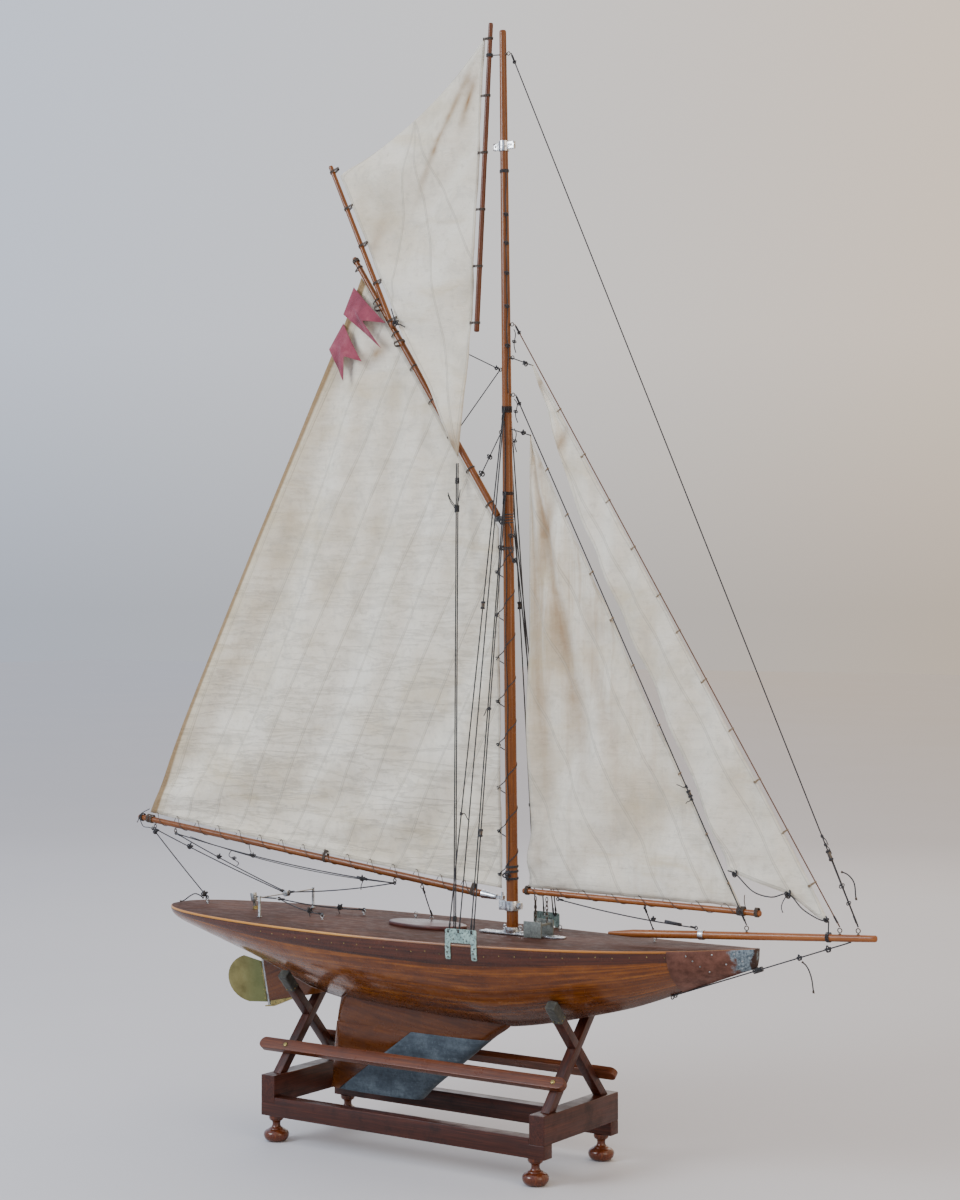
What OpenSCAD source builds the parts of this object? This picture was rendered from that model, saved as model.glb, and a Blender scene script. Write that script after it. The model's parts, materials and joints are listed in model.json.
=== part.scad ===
// Vintage gaff-rigged pond yacht on its cradle stand.
// X runs from stern to bow, Y to port, Z up. The floor is Z = 0.

/* [Hull] */
// Mast centre to the tip of the counter
stern_reach = 558; // [545:1:566]
// Mast centre to the stem
bow_reach = 344; // [336:1:352]
// Greatest half breadth of the deck
half_beam_max = 107; // [104:1:108]
// Height of the deck edge amidships
sheer_z = 285.2; // [282:0.2:290]
// Rise of the deck edge at the stem
bow_rise = 13.8; // [8:0.2:18]
// Thickness of the deck panel
deck_t = 3; // [2.5:0.5:4]
// Crown of the deck across its breadth
deck_crown = 2; // [0:0.5:4]
// Thickness of the hull planking
plank_t = 6; // [5:0.5:8]

/* [Keel and rudder] */
// Full thickness of the fin at its deepest chord
fin_t = 26; // [20:1:30]
// Underside of the lead ballast
keel_z = 63; // [60:1:66]
// Joint between the upper fin and the ballast
ballast_z = 151; // [145:1:155]
// Diameter of the rudder stock
stock_d = 5; // [4:0.5:5]
// Lean of the rudder stock
stock_rake = 11.3; // [10.8:0.1:11.8]
// Thickness of the brass rudder blade
blade_t = 1.6; // [1.2:0.1:2]

/* [Spars] */
// Height of the mast's truck
mast_top_z = 1431; // [1425:1:1440]
// Diameter of the mast at the deck
mast_d = 15; // [14:0.5:15]
// Diameter of the mast at the truck
mast_tip_d = 9; // [8:0.5:10]
// Rake of the mast
mast_rake = 0.75; // [0.6:0.05:0.9]
// Diameter of the boom
boom_d = 9.6; // [9:0.2:10]
// Diameter of the gaff
gaff_d = 8.6; // [8:0.2:9]
// Diameter of the topsail's spars
yard_d = 7; // [6:0.5:7.5]
// Diameter of the bowsprit
sprit_d = 10; // [9:0.5:10]
// Diameter of the staysail's club
club_d = 8; // [7:0.5:8.5]

/* [Sails and rigging] */
// Thickness of each sail's solid
sail_t = 1; // [0.8:0.1:1.2]
// Diameter of the standing rigging
line_d = 1.8; // [1.4:0.1:2]
// Diameter of the screw eyes' wire
eye_wire = 1.2; // [1:0.1:1.4]

/* [Stand] */
// Length of the side rails
rail_len = 442; // [436:2:448]
// Outer half width of the base
stand_half_w = 86.6; // [84:0.2:90]
// Height of the turned feet
foot_h = 33.6; // [30:0.2:36]
// Section of the crossed legs
leg_w = 13; // [11:0.5:13]
// Height at which the legs cross
cross_z = 155; // [153:1:157]

/* [Hidden] */

$fn = 32;
mast_x = 70;               // mast centre in the part's frame
gap = 0.03;                // seating gap between touching pieces
deck_seat = 0.15;          // seating gap under the curved deck
fit = 0.05;                // radial running clearance
beam_x = -175;             // station of the greatest beam
crown_span = 110;

// ---------------------------------------------------------------- helpers
module boat() translate([mast_x, 0, 0]) children();
function clamp(v, lo, hi) = min(max(v, lo), hi);

function seg_index(p, x, i = 0) =
  (i >= len(p) - 2 || x < p[i + 1][0]) ? i : seg_index(p, x, i + 1);
function slope(p, i) =
  let(a = max(i - 1, 0), b = min(i + 1, len(p) - 1))
  (p[b][1] - p[a][1]) / (p[b][0] - p[a][0]);
function curve(p, x) =
  let(i = seg_index(p, x), h = p[i + 1][0] - p[i][0], t = (x - p[i][0]) / h,
      t2 = t * t, t3 = t2 * t)
  (2 * t3 - 3 * t2 + 1) * p[i][1] + (t3 - 2 * t2 + t) * h * slope(p, i)
  + (3 * t2 - 2 * t3) * p[i + 1][1] + (t3 - t2) * h * slope(p, i + 1);

// A straight round bar between two points, tapering from d1 to d2
module bar(a, b, d1, d2 = -1, fn = 24) {
  v = b - a;
  len_v = norm(v);
  translate(a)
    rotate([0, acos(v[2] / len_v), atan2(v[1], v[0])])
      cylinder(h = len_v, d1 = d1, d2 = d2 < 0 ? d1 : d2, $fn = fn);
}
// A short tube round the line from a to b, centred at fraction t
module collar_on(a, b, t, len_c, d_out, d_in) {
  v = b - a;
  mid = a + v * t;
  translate(mid)
    rotate([0, acos(v[2] / norm(v)), atan2(v[1], v[0])])
      difference() {
        cylinder(h = len_c, d = d_out, center = true, $fn = 20);
        cylinder(h = len_c + 2, d = d_in, center = true, $fn = 20);
      }
}
// A screw eye: a ring on a shank that points along -Z, its foot at the origin
module screw_eye(ring_r = 2.6, shank = 3) {
  translate([0, 0, shank + ring_r])
    rotate([90, 0, 0])
      rotate_extrude($fn = 24)
        translate([ring_r, 0]) circle(d = eye_wire, $fn = 16);
  cylinder(h = shank + eye_wire / 2, d = eye_wire, $fn = 16);
  cylinder(h = 0.6, d = 3.4, $fn = 16);
}
// A flat sheet in the XZ plane, centred on y
module sheet(points, t, y = 0)
  translate([0, y + t / 2, 0]) rotate([90, 0, 0]) linear_extrude(t) polygon(points);

// A tube swept along a list of points
function unit(v) = v / norm(v);
function tangent(p, i) =
  unit(p[min(i + 1, len(p) - 1)] - p[max(i - 1, 0)]);
function ring_at(p, i, r, sides) =
  let(t = tangent(p, i),
      side = abs(t[1]) > 0.9 ? [1, 0, 0] : [0, 1, 0],
      u = unit(cross(t, side)), w = cross(t, u))
  [for (k = [0:sides - 1])
    p[i] + r * (cos(360 * k / sides) * u + sin(360 * k / sides) * w)];
module swept(p, d, sides = 8) {
  n = len(p);
  points = [for (i = [0:n - 1]) each ring_at(p, i, d / 2, sides)];
  walls = [for (i = [0:n - 2], k = [0:sides - 1])
    let(a = i * sides + k, b = i * sides + (k + 1) % sides)
    each [[a, b, b + sides], [a, b + sides, a + sides]]];
  start = [for (k = [sides - 1:-1:0]) k];
  finish = [for (k = [0:sides - 1]) (n - 1) * sides + k];
  polyhedron(points, concat([start], walls, [finish]), convexity = 4);
}
// A smooth route through hand-placed points
function spline_at(a, b, c, d, t) =
  0.5 * (2 * b + (c - a) * t + (2 * a - 5 * b + 4 * c - d) * t * t
         + (3 * b - a - 3 * c + d) * t * t * t);
function route(p, steps) =
  [for (i = [0:len(p) - 2], s = [0:steps - 1])
     spline_at(p[max(i - 1, 0)], p[i], p[i + 1], p[min(i + 2, len(p) - 1)], s / steps),
   p[len(p) - 1]];

// ---------------------------------------------------------------- hull form
keel_line = [[-558, 284], [-549, 268], [-490, 248], [-409, 220], [-323, 191],
  [-250, 179], [-130, 172], [-20, 170], [40, 178], [120, 197], [190, 217],
  [290, 256], [344, 277]];
// Exponent of the section: higher is more vee-shaped
fullness_line = [[-558, 0.9], [-450, 1.12], [-321, 1.22], [-150, 0.97], [0, 0.92],
  [86, 0.95], [200, 0.95], [344, 0.9]];
stations = 34;
section_steps = 9;
stem_half = 5;

function half_beam(x) =
  x > beam_x
    ? max(half_beam_max
        * pow(1 - pow(clamp((x - beam_x) / (bow_reach - beam_x), 0, 1), 1.85), 0.82),
        stem_half)
    : half_beam_max
        * pow(1 - pow(clamp((beam_x - x) / (stern_reach + beam_x), 0, 0.994), 2), 0.42);
function sheer(x) =
  sheer_z + (x > -100
    ? bow_rise * pow((x + 100) / (bow_reach + 100), 2.6)
    : 3 * pow((-100 - x) / (stern_reach - 100), 2));
function keel_at(x) = curve(keel_line, clamp(x, -558, 344));
function fullness(x) = curve(fullness_line, clamp(x, -558, 344));
function deck_z(x, y = 0) =
  sheer(x) + deck_crown * (1 - pow(clamp(y / half_beam(x), -1, 1), 2))
    * half_beam(x) / crown_span;
// Skin point: a runs from -90 (starboard edge) through 0 (keel) to 90 (port edge)
function skin(x, a, wall, top) =
  let(b = max(half_beam(x) - wall, 1.5), z0 = keel_at(x) + wall, d = top - z0)
  [x, sign(a) * b * pow(abs(sin(a)), 2 * fullness(x)), z0 + d * (1 - cos(a))];
// Height of the planking's outer face at half breadth y, and half breadth at height z
function skin_z(x, y) =
  let(a = asin(pow(clamp(abs(y) / half_beam(x), 0, 1), 0.5 / fullness(x))), z0 = keel_at(x))
  z0 + (sheer(x) - deck_t - z0) * (1 - cos(a));
function skin_y(x, z) =
  let(z0 = keel_at(x), c = clamp(1 - (z - z0) / (sheer(x) - deck_t - z0), 0, 1))
  half_beam(x) * pow(1 - c * c, fullness(x));
function station(i) =
  let(t = i / (stations - 1), s = 0.5 - 0.5 * cos(180 * t))
  -stern_reach + 1.5 + (stern_reach + bow_reach - 1.5) * (0.55 * t + 0.45 * s);
function inner_station(i) =
  let(t = i / (stations - 1), s = 0.5 - 0.5 * cos(180 * t))
  -stern_reach + 38 + (stern_reach + bow_reach - 38 - 44) * (0.55 * t + 0.45 * s);

// A skin of even rows between an outer and an inner grid, open along its top edge.
// The first end is closed by a wall, or left open when open_aft is true.
module shell(outer, inner, rows, m, open_aft = false) {
  n = rows * m;
  last = (rows - 1) * m;
  skins = [for (i = [0:rows - 2], j = [0:m - 2])
    let(a = i * m + j, b = a + 1, c = a + m, d = c + 1)
    each [[a, b, d], [a, d, c], [n + a, n + d, n + b], [n + a, n + c, n + d]]];
  rims = [for (i = [0:rows - 2])
    let(a = i * m, c = a + m, p = a + m - 1, q = c + m - 1)
    each [[a, c, n + c], [a, n + c, n + a], [p, n + q, q], [p, n + p, n + q]]];
  aft_wall = [[for (j = [m - 1:-1:0]) j], [for (j = [0:m - 1]) n + j],
    [0, n, n + m - 1], [0, n + m - 1, m - 1]];
  aft_rim = [for (j = [0:m - 2]) each [[j + 1, j, n + j], [j + 1, n + j, n + j + 1]]];
  fore_wall = [[for (j = [0:m - 1]) last + j], [for (j = [m - 1:-1:0]) n + last + j],
    [last, n + last + m - 1, n + last], [last, last + m - 1, n + last + m - 1]];
  polyhedron(concat(outer, inner),
    concat(skins, rims, open_aft ? aft_rim : aft_wall, fore_wall), convexity = 6);
}
module hull_skin() {
  angles = [for (j = [-section_steps:section_steps]) 90 * j / section_steps];
  outer = [for (i = [0:stations - 1]) let(x = station(i))
    each [for (a = angles) skin(x, a, 0, sheer(x) - deck_t)]];
  inner = [for (i = [0:stations - 1]) let(x = inner_station(i))
    each [for (a = angles) skin(x, a, plank_t, sheer(x) - deck_t)]];
  shell(outer, inner, stations, len(angles));
}

// ---------------------------------------------------------------- rudder line
stock_foot = [-396, 0, 160];
function stock_at(z) = [stock_foot[0] - (z - stock_foot[2]) * tan(stock_rake), 0, z];
module along_stock(z) translate(stock_at(z)) rotate([0, -stock_rake, 0]) children();
tube_wall = 1;
tube_top = 292;
head_z = 311;

module hull_shell() boat() color([0.62, 0.34, 0.12])
  difference() {
    hull_skin();
    along_stock(200) cylinder(h = 110, d = stock_d + 2 * fit + 2 * tube_wall, $fn = 32);
  }

hatch_x = -132;
hatch_len = 118;
hatch_wid = 56;
hatch_t = 5;
hatch_lip = 8;
function oval(l, w, n = 40) =
  [for (k = [0:n - 1]) [l / 2 * cos(360 * k / n), w / 2 * sin(360 * k / n)]];

module deck_skin() {
  across = [-1, -0.5, 0, 0.5, 1];
  m = len(across);
  top = [for (i = [0:stations - 1]) let(x = station(i), b = half_beam(x))
    each [for (s = across) [x, s * b, deck_z(x, s * b)]]];
  low = [for (i = [0:stations - 1]) let(x = station(i), b = half_beam(x))
    each [for (s = across) [x, s * b, sheer(x) - deck_t + deck_seat]]];
  n = stations * m;
  up = [for (i = [0:stations - 2], j = [0:m - 2])
    let(a = i * m + j, b = a + 1, c = a + m, d = c + 1)
    each [[a, d, b], [a, c, d]]];
  down = [for (i = [0:stations - 2], j = [0:m - 2])
    let(a = n + i * m + j, b = a + 1, c = a + m, d = c + 1)
    each [[a, b, d], [a, d, c]]];
  sides = [for (i = [0:stations - 2])
    let(a = i * m, c = a + m, p = a + m - 1, q = c + m - 1)
    each [[a, n + a, n + c], [a, n + c, c], [p, n + q, n + p], [p, q, n + q]]];
  last = (stations - 1) * m;
  ends = [for (j = [0:m - 2]) each [
    [j, j + 1, n + j + 1], [j, n + j + 1, n + j],
    [last + j, n + last + j + 1, last + j + 1], [last + j, n + last + j, n + last + j + 1]]];
  polyhedron(concat(top, low), concat(up, down, sides, ends), convexity = 4);
}
module deck_panel() boat() color([0.45, 0.25, 0.2])
  difference() {
    deck_skin();
    translate([hatch_x, 0, 270])
      linear_extrude(40) polygon(oval(hatch_len - 2 * hatch_lip, hatch_wid - 2 * hatch_lip));
    along_stock(260) cylinder(h = 50, d = stock_d + 2 * fit + 2 * tube_wall, $fn = 32);
  }
module hatch_cover() boat() color([0.42, 0.2, 0.16]) {
  seat = deck_z(hatch_x) + 0.35;
  translate([hatch_x, 0, seat]) linear_extrude(hatch_t) polygon(oval(hatch_len, hatch_wid));
  for (side = [-1, 1])
    translate([hatch_x + side * 36, 0, seat - 1.9]) cube([8, 20, 4], center = true);
}

// ---------------------------------------------------------------- keel
fin_lead = [[63, -139], [78, -124], [151, -32], [160, -22], [172, -6], [184, 4]];
fin_trail = [[63, -287], [100, -284], [151, -279], [184, -270]];
ballast_foot_x = -270;
ballast_head_x = -149;
fin_rows = 7;
fin_cols = 14;
fin_top_z = 176;
rebate = 1;                // how far the fin is let into the planking
function ballast_aft(z) =
  ballast_foot_x + (ballast_head_x - ballast_foot_x) * (z - keel_z) / (ballast_z - keel_z);
// Half thickness at fraction s of the chord, 0 at the trailing edge
function fin_half(s) =
  0.8 + 0.76 * fin_t * pow(clamp(s, 0, 1), 0.35) * pow(clamp(1 - s, 0, 1), 0.28);
function half_at(x, z) =
  let(back = curve(fin_trail, z)) fin_half((x - back) / (curve(fin_lead, z) - back));

// A solid of the fin's section between x = backs[r] and fronts[r] on each row zs[r].
// When seated, its top follows the hull's bottom, with a ridge line under the keel.
module fin_block(zs, backs, fronts, seated = false) {
  rows = len(zs);
  m = fin_cols + 1;
  n = rows * m;
  function x_at(r, c) =
    backs[r] + (fronts[r] - backs[r]) * (0.5 - 0.5 * cos(180 * c / fin_cols));
  function z_at(r, x, y) = !seated ? zs[r]
    : zs[0] + (skin_z(x, y) + rebate - zs[0]) * r / (rows - 1);
  function side_points(side) = [for (r = [0:rows - 1], c = [0:fin_cols])
    let(x = x_at(r, c), y = half_at(x, zs[r])) [x, side * y, z_at(r, x, y)]];
  ridge = [for (c = [0:fin_cols]) let(x = x_at(rows - 1, c)) [x, 0, z_at(rows - 1, x, 0)]];
  walls = [for (r = [0:rows - 2], c = [0:fin_cols - 1])
    let(a = r * m + c, b = a + 1, d = a + m, e = d + 1)
    each [[a, b, e], [a, e, d], [n + a, n + e, n + b], [n + a, n + d, n + e]]];
  back_f = [for (r = [0:rows - 2]) let(a = r * m, d = a + m)
    each [[a, d, n + d], [a, n + d, n + a]]];
  front_f = [for (r = [0:rows - 2]) let(a = r * m + fin_cols, d = a + m)
    each [[a, n + d, d], [a, n + a, n + d]]];
  low = [for (c = [0:fin_cols - 1]) each [[c, n + c, n + c + 1], [c, n + c + 1, c + 1]]];
  t = (rows - 1) * m;
  flat_top = [for (c = [0:fin_cols - 1]) let(p = t + c, q = n + t + c)
    each [[p, p + 1, q + 1], [p, q + 1, q]]];
  ridged_top = [for (c = [0:fin_cols - 1]) let(p = t + c, k = 2 * n + c, q = n + t + c)
    each [[p, p + 1, k + 1], [p, k + 1, k], [k, k + 1, q + 1], [k, q + 1, q]]];
  ridge_ends = [[t, 2 * n, n + t],
    [t + fin_cols, n + t + fin_cols, 2 * n + fin_cols]];
  polyhedron(concat(side_points(1), side_points(-1), seated ? ridge : []),
    concat(walls, back_f, front_f, low, seated ? concat(ridged_top, ridge_ends) : flat_top),
    convexity = 4);
}
function rows_between(z0, z1) = [for (r = [0:fin_rows]) z0 + (z1 - z0) * r / fin_rows];

module keel_fin() boat() color([0.55, 0.28, 0.1]) {
  zs = rows_between(ballast_z + gap, fin_top_z);
  fin_block(zs, [for (z = zs) curve(fin_trail, z)], [for (z = zs) curve(fin_lead, z)], true);
}
module keel_deadwood() boat() color([0.5, 0.25, 0.1]) {
  zs = rows_between(keel_z, ballast_z);
  fin_block(zs, [for (z = zs) curve(fin_trail, z)], [for (z = zs) ballast_aft(z) - gap]);
}
module lead_ballast() boat() color([0.36, 0.42, 0.47]) {
  zs = rows_between(keel_z, ballast_z);
  fin_block(zs, [for (z = zs) ballast_aft(z)], [for (z = zs) curve(fin_lead, z)]);
}

// ---------------------------------------------------------------- skeg
skeg_t = 9;
skeg_gap = 0.6;
module skeg() boat() color([0.58, 0.3, 0.1]) {
  off = stock_d / 2 + skeg_gap;
  top = stock_at(222);
  low = stock_at(166);
  sheet([[low[0] + off, 166], [-353, 175], [-323, 181], [-296, 187.5],
    [-323, 193.5], [-360, 206], [top[0] + off, 222]], skeg_t);
}
module skeg_heel_strap() boat() color([0.6, 0.5, 0.25]) {
  sheet([[-402, 157.2], [-387, 159.2], [-355, 172.4], [-355, 174.5], [-391.5, 166.5],
    [-392.2, 159.4], [-402, 159]], 7);
}
module rudder_tube() boat() color([0.7, 0.6, 0.3])
  along_stock(229)
    difference() {
      cylinder(h = (tube_top - 229) / cos(stock_rake), d = stock_d + 2 * fit + 2 * tube_wall - 0.04,
        $fn = 32);
      translate([0, 0, -5]) cylinder(h = 120, d = stock_d + 2 * fit, $fn = 32);
    }
module rudder_stock() boat() color([0.7, 0.6, 0.3]) {
  along_stock(160) cylinder(h = (head_z - 160) / cos(stock_rake) - 6, d = stock_d, $fn = 32);
  along_stock(299) cylinder(h = 11, d = 9, $fn = 24);
}
module rudder_blade() boat() color([0.62, 0.55, 0.28]) {
  hinge_low = stock_at(163.5);
  hinge_top = stock_at(217.5);
  off = -stock_d / 2 - gap;
  mid = stock_at(192);
  sheet(concat(
    [[hinge_low[0] + off, 163.5]],
    [for (k = [0:14]) let(a = -82 + 150 * k / 14)
      [mid[0] + off - 21 - 45 * cos(a) * 0.98, 193 + 32.4 * sin(a)]],
    [[hinge_top[0] + off, 217.5]]), blade_t);
}
module tiller() boat() color([0.75, 0.75, 0.72]) {
  top = stock_at(304);
  bar(top + [4.6, 0, 1], [-384, 0, 305], 2.4);
  translate([-381, 0, 305]) rotate_extrude($fn = 24) translate([3, 0]) circle(d = 1.6, $fn = 16);
}

// ---------------------------------------------------------------- deck fittings
cap_t = 1.2;
cap_stations = 6;          // how many of the hull's stations the cap covers
// One row of the cap: the hull's section swollen by t, carried up past the deck's edge
function cap_row(xs, t, nose) =
  let(b = half_beam(xs) + t, x = xs < bow_reach ? xs : xs + nose, top = sheer(xs) - 0.3)
  concat([[x, -b, top]],
    [for (j = [-section_steps:section_steps])
      let(p = skin(xs, 90 * j / section_steps, -t, sheer(xs) - deck_t)) [x, p[1], p[2]]],
    [[x, b, top]]);
module stem_cap() boat() color([0.45, 0.3, 0.26]) {
  lap_gap = 0.25;
  rows = [for (i = [stations - cap_stations:stations - 1]) min(station(i), bow_reach)];
  outer = [for (x = rows) each cap_row(x, cap_t, cap_t)];
  inner = [for (x = rows) each cap_row(x, lap_gap, 2 * gap)];
  shell(outer, inner, cap_stations, 2 * section_steps + 3, true);
}
plate_aft = -34;
plate_l = 44;
plate_t = 1.3;
plate_top = 304.5;
plate_foot = 287.5;
hole_z = plate_top - 4;    // the shrouds hook through holes along the plate's top
strap_w = 7;
strap_drop = 23;
strap_top = 281;           // above this the straps stand upright, like the plate
hole_r = 1.4;
plate_fore = plate_aft + plate_l;
skin_gap = 0.35;
shroud_x = [-29, -15, 3];
// A strap that follows the planking down from the chainplate
module plate_strap(x)
  translate([x, 0, 0]) rotate([90, 0, 90]) linear_extrude(strap_w) polygon([
    for (out = [0, plate_t], k = out > 0 ? [4:-1:0] : [0:4])
      let(z = plate_foot + 2 - strap_drop * k / 4)
        [skin_y(x, min(z, strap_top)) + skin_gap + out, z]]);
module chainplates() boat() color([0.45, 0.6, 0.52])
  for (side = [0, 1]) mirror([0, side, 0]) {
    difference() {
      translate([0, 0, plate_foot]) linear_extrude(plate_top - plate_foot) polygon([
        [plate_aft, half_beam(plate_aft) + skin_gap + plate_t],
        [plate_fore, half_beam(plate_fore) + skin_gap + plate_t],
        [plate_fore, half_beam(plate_fore) + skin_gap],
        [plate_aft, half_beam(plate_aft) + skin_gap]]);
      for (x = shroud_x)
        translate([x, half_beam(x), hole_z]) rotate([90, 0, 0])
          cylinder(h = 12, r = hole_r, center = true, $fn = 20);
    }
    for (x = [plate_aft + 0.5, plate_fore - strap_w - 0.5]) plate_strap(x);
  }
slide_z = 288.3;
module mast_slide_plate() boat() color([0.8, 0.8, 0.82])
  difference() {
    union() {
      translate([-46, -8, slide_z]) cube([112, 16, 2]);
      translate([66, 0, slide_z])
        linear_extrude(2) polygon([[0, -8], [12, -3], [12, 3], [0, 8]]);
    }
    for (x = [-40, 60]) translate([x, 0, slide_z - 1]) cylinder(h = 4, r = 1.5, $fn = 20);
    translate([-34, -1.5, slide_z + 1]) cube([22, 3, 3]);
    translate([14, -1.5, slide_z + 1]) cube([38, 3, 3]);
  }
mast_foot_z = slide_z + 2;
function mast_at(z) = [-(z - mast_foot_z) * tan(mast_rake), 0, z];
function mast_r(z) =
  mast_d / 2 + (mast_tip_d - mast_d) / 2 * (z - mast_foot_z) / (mast_top_z - mast_foot_z);
module on_mast(z) translate(mast_at(z)) rotate([0, -mast_rake, 0]) children();
module mast() boat() color([0.66, 0.34, 0.12])
  on_mast(mast_foot_z + 0.15)
    cylinder(h = mast_top_z - mast_foot_z, d1 = mast_d, d2 = mast_tip_d, $fn = 40);
module mast_collar() boat() color([0.82, 0.82, 0.84]) {
  translate([0, 0, mast_foot_z + gap])
    difference() {
      union() {
        cylinder(h = 7, r = mast_d / 2 + 2.2, $fn = 40);
        translate([-16, -5, 0]) cube([32, 10, 1.6]);
      }
      translate([0, 0, -1]) cylinder(h = 10, r = mast_d / 2 + 0.25, $fn = 40);
    }
  for (side = [-1, 1])
    translate([side * 12, 0, mast_foot_z + 1.7]) screw_eye(2.2, 2.5);
}
band_z = 318;
band_h = 12;
pin_x = -15;
module gooseneck_band() boat() color([0.82, 0.82, 0.84])
  on_mast(band_z) {
    difference() {
      union() {
        cylinder(h = band_h, r = mast_d / 2 + 2, $fn = 40);
        translate([pin_x - 3.5, -3, 0]) cube([9, 6, band_h]);
        translate([8, -2.5, 2]) cube([6, 5, 8]);
      }
      translate([0, 0, -1]) cylinder(h = band_h + 2, r = mast_d / 2 + 0.02, $fn = 40);
    }
    translate([pin_x, 0, band_h - 0.5]) cylinder(h = 11, r = 1.5, $fn = 24);
    rotate([90, 0, 0]) translate([11.5, 6, -5]) cylinder(h = 10, r = 1.6, $fn = 20);
  }
head_band_z = 1277;
module masthead_band() boat() color([0.82, 0.82, 0.84])
  on_mast(head_band_z)
    difference() {
      union() {
        cylinder(h = 13, r = mast_r(head_band_z) + 1.6, $fn = 32);
        translate([-15, -2, 2]) cube([9, 4, 9]);
        translate([5, -2, 2]) cube([11, 4, 9]);
      }
      translate([0, 0, -1]) cylinder(h = 15, r = mast_r(head_band_z) + 0.02, $fn = 32);
      for (x = [-12, 12]) translate([x, 0, 6.5]) rotate([90, 0, 0])
        cylinder(h = 10, r = 1.2, center = true, $fn = 20);
    }
mast_eye_list = [[1400, 1], [1057, 1], [1015, 1], [968, 1], [1001, -1], [922, -1]];
module mast_eyes() boat() color([0.2, 0.19, 0.18])
  for (e = mast_eye_list)
    on_mast(e[0]) rotate([0, e[1] * 90, 0])
      translate([0, 0, mast_r(e[0]) + 0.06]) screw_eye(2.2, 1.6);

sprit_heel = [141, 0, 301];
sprit_tip = [497, 0, 323];
sprit_tip_d = 8;
sprit_len = norm(sprit_tip - sprit_heel);
sprit_tilt = 90 - atan2(sprit_tip[2] - sprit_heel[2], sprit_tip[0] - sprit_heel[0]);
sprit_taper_l = 34;        // how far the heel's taper runs
function sprit_r(x) =
  sprit_d / 2 - (sprit_d - sprit_tip_d) / 2
    * ((x - sprit_heel[0]) * sprit_len / (sprit_tip[0] - sprit_heel[0]) - sprit_taper_l)
    / (sprit_len - sprit_taper_l);
function sprit_at(x) =
  sprit_heel + (sprit_tip - sprit_heel) * (x - sprit_heel[0]) / (sprit_tip[0] - sprit_heel[0]);
module bowsprit() boat() color([0.75, 0.36, 0.12]) {
  translate(sprit_heel) rotate([0, sprit_tilt, 0]) rotate_extrude($fn = 32)
    polygon([[0, 0], [2, 0], [sprit_d / 2, sprit_taper_l], [sprit_tip_d / 2, sprit_len], [0, sprit_len]]);
}
module gammon_strap() boat() color([0.8, 0.8, 0.82])
  translate(sprit_at(271)) rotate([0, sprit_tilt, 0])
    difference() {
      cylinder(h = 7, r = sprit_d / 2 + 0.9, center = true, $fn = 32);
      cylinder(h = 9, r = sprit_d / 2 + gap, center = true, $fn = 32);
    }
module bowsprit_eyes() boat() color([0.35, 0.33, 0.3])
  for (x = [331, 451, 474])
    translate(sprit_at(x) + [0, 0, sprit_r(x) + 0.15]) screw_eye(2.6, 1.8);

horse_x = -367;
horse_y = 57;
horse_h = 28;
module sheet_horse() boat() color([0.7, 0.7, 0.68]) {
  for (side = [-1, 1]) translate([horse_x, side * horse_y, deck_z(horse_x, horse_y) + 0.1]) {
    translate([-2.5, -2.5, 0]) cube([5, 5, 1]);
    translate([-1.5, -1, 0]) cube([3, 2, horse_h]);
  }
  bar([horse_x, -horse_y, sheer_z + horse_h], [horse_x, horse_y, sheer_z + horse_h], 1.6);
  translate([horse_x, 0, sheer_z + horse_h])
    rotate([90, 0, 0]) difference() {
      cylinder(h = 7, r = 4, center = true, $fn = 24);
      cylinder(h = 9, r = 0.9, center = true, $fn = 24);
    }
}
deck_eye_list = [[-282, -30], [-266, 40], [-150, 34], [-508, 0], [-520, 12], [189, 30],
  [-196, 62], [30, 64]];
module deck_eyes() boat() color([0.6, 0.6, 0.58])
  for (e = deck_eye_list)
    translate([e[0], e[1], deck_z(e[0], e[1]) + 0.1]) screw_eye(2.6, 2.4);

bracket_x = 26;
module club_bracket() boat() color([0.42, 0.5, 0.46]) {
  z = deck_z(bracket_x + 24, 0) + 2.6;
  for (side = [-1, 1])
    translate([bracket_x, side * 14 - 1, z - 1.9]) cube([26, 2, 20]);
  for (x = [bracket_x + 3, bracket_x + 20]) translate([x, -15, z + 12]) cube([3, 30, 3]);
}
// ---------------------------------------------------------------- standing rigging
chain_z = hole_z + 1.5;
function chain_at(i, side, dx = 0) =
  [shroud_x[i] + dx, side * (half_beam(shroud_x[i]) - 0.75), chain_z];
function mast_side(z, dx, side) = mast_at(z) + [dx, side * (mast_r(z) + 1.2), 0];
function shroud_ends(side) = [
  [chain_at(0, side), mast_side(948, -1, side)],
  [chain_at(1, side), mast_side(952, 1, side)],
  [chain_at(2, side, -2), mast_side(842, -1, side)],
  [chain_at(2, side, 2), mast_side(846, 1.5, side)]];
module shrouds() boat() color([0.12, 0.12, 0.13])
  for (side = [-1, 1], e = shroud_ends(side)) bar(e[0], e[1], line_d, fn = 16);

eye_reach = 7.7;           // from a spar's surface to the cord's end past the eye
stay_top = mast_at(1400) + [mast_r(1400) + eye_reach, 0, 0];
stay_foot = sprit_at(474) + [0, 0, sprit_d / 2 + eye_reach];
jib_top = mast_at(1057) + [mast_r(1057) + eye_reach, 0, 0];
jib_foot = sprit_at(451) + [0, 0, sprit_d / 2 + eye_reach];
inner_top = mast_at(968) + [mast_r(968) + eye_reach, 0, 0];
inner_foot = sprit_at(331) + [0, 0, sprit_d / 2 + eye_reach];
module topmast_stay() boat() color([0.12, 0.12, 0.13]) bar(stay_top, stay_foot, line_d, fn = 16);
module jib_stay() boat() color([0.3, 0.2, 0.15]) bar(jib_top, jib_foot, line_d, fn = 16);
module inner_stay() boat() color([0.12, 0.12, 0.13]) bar(inner_top, inner_foot, line_d, fn = 16);

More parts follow.
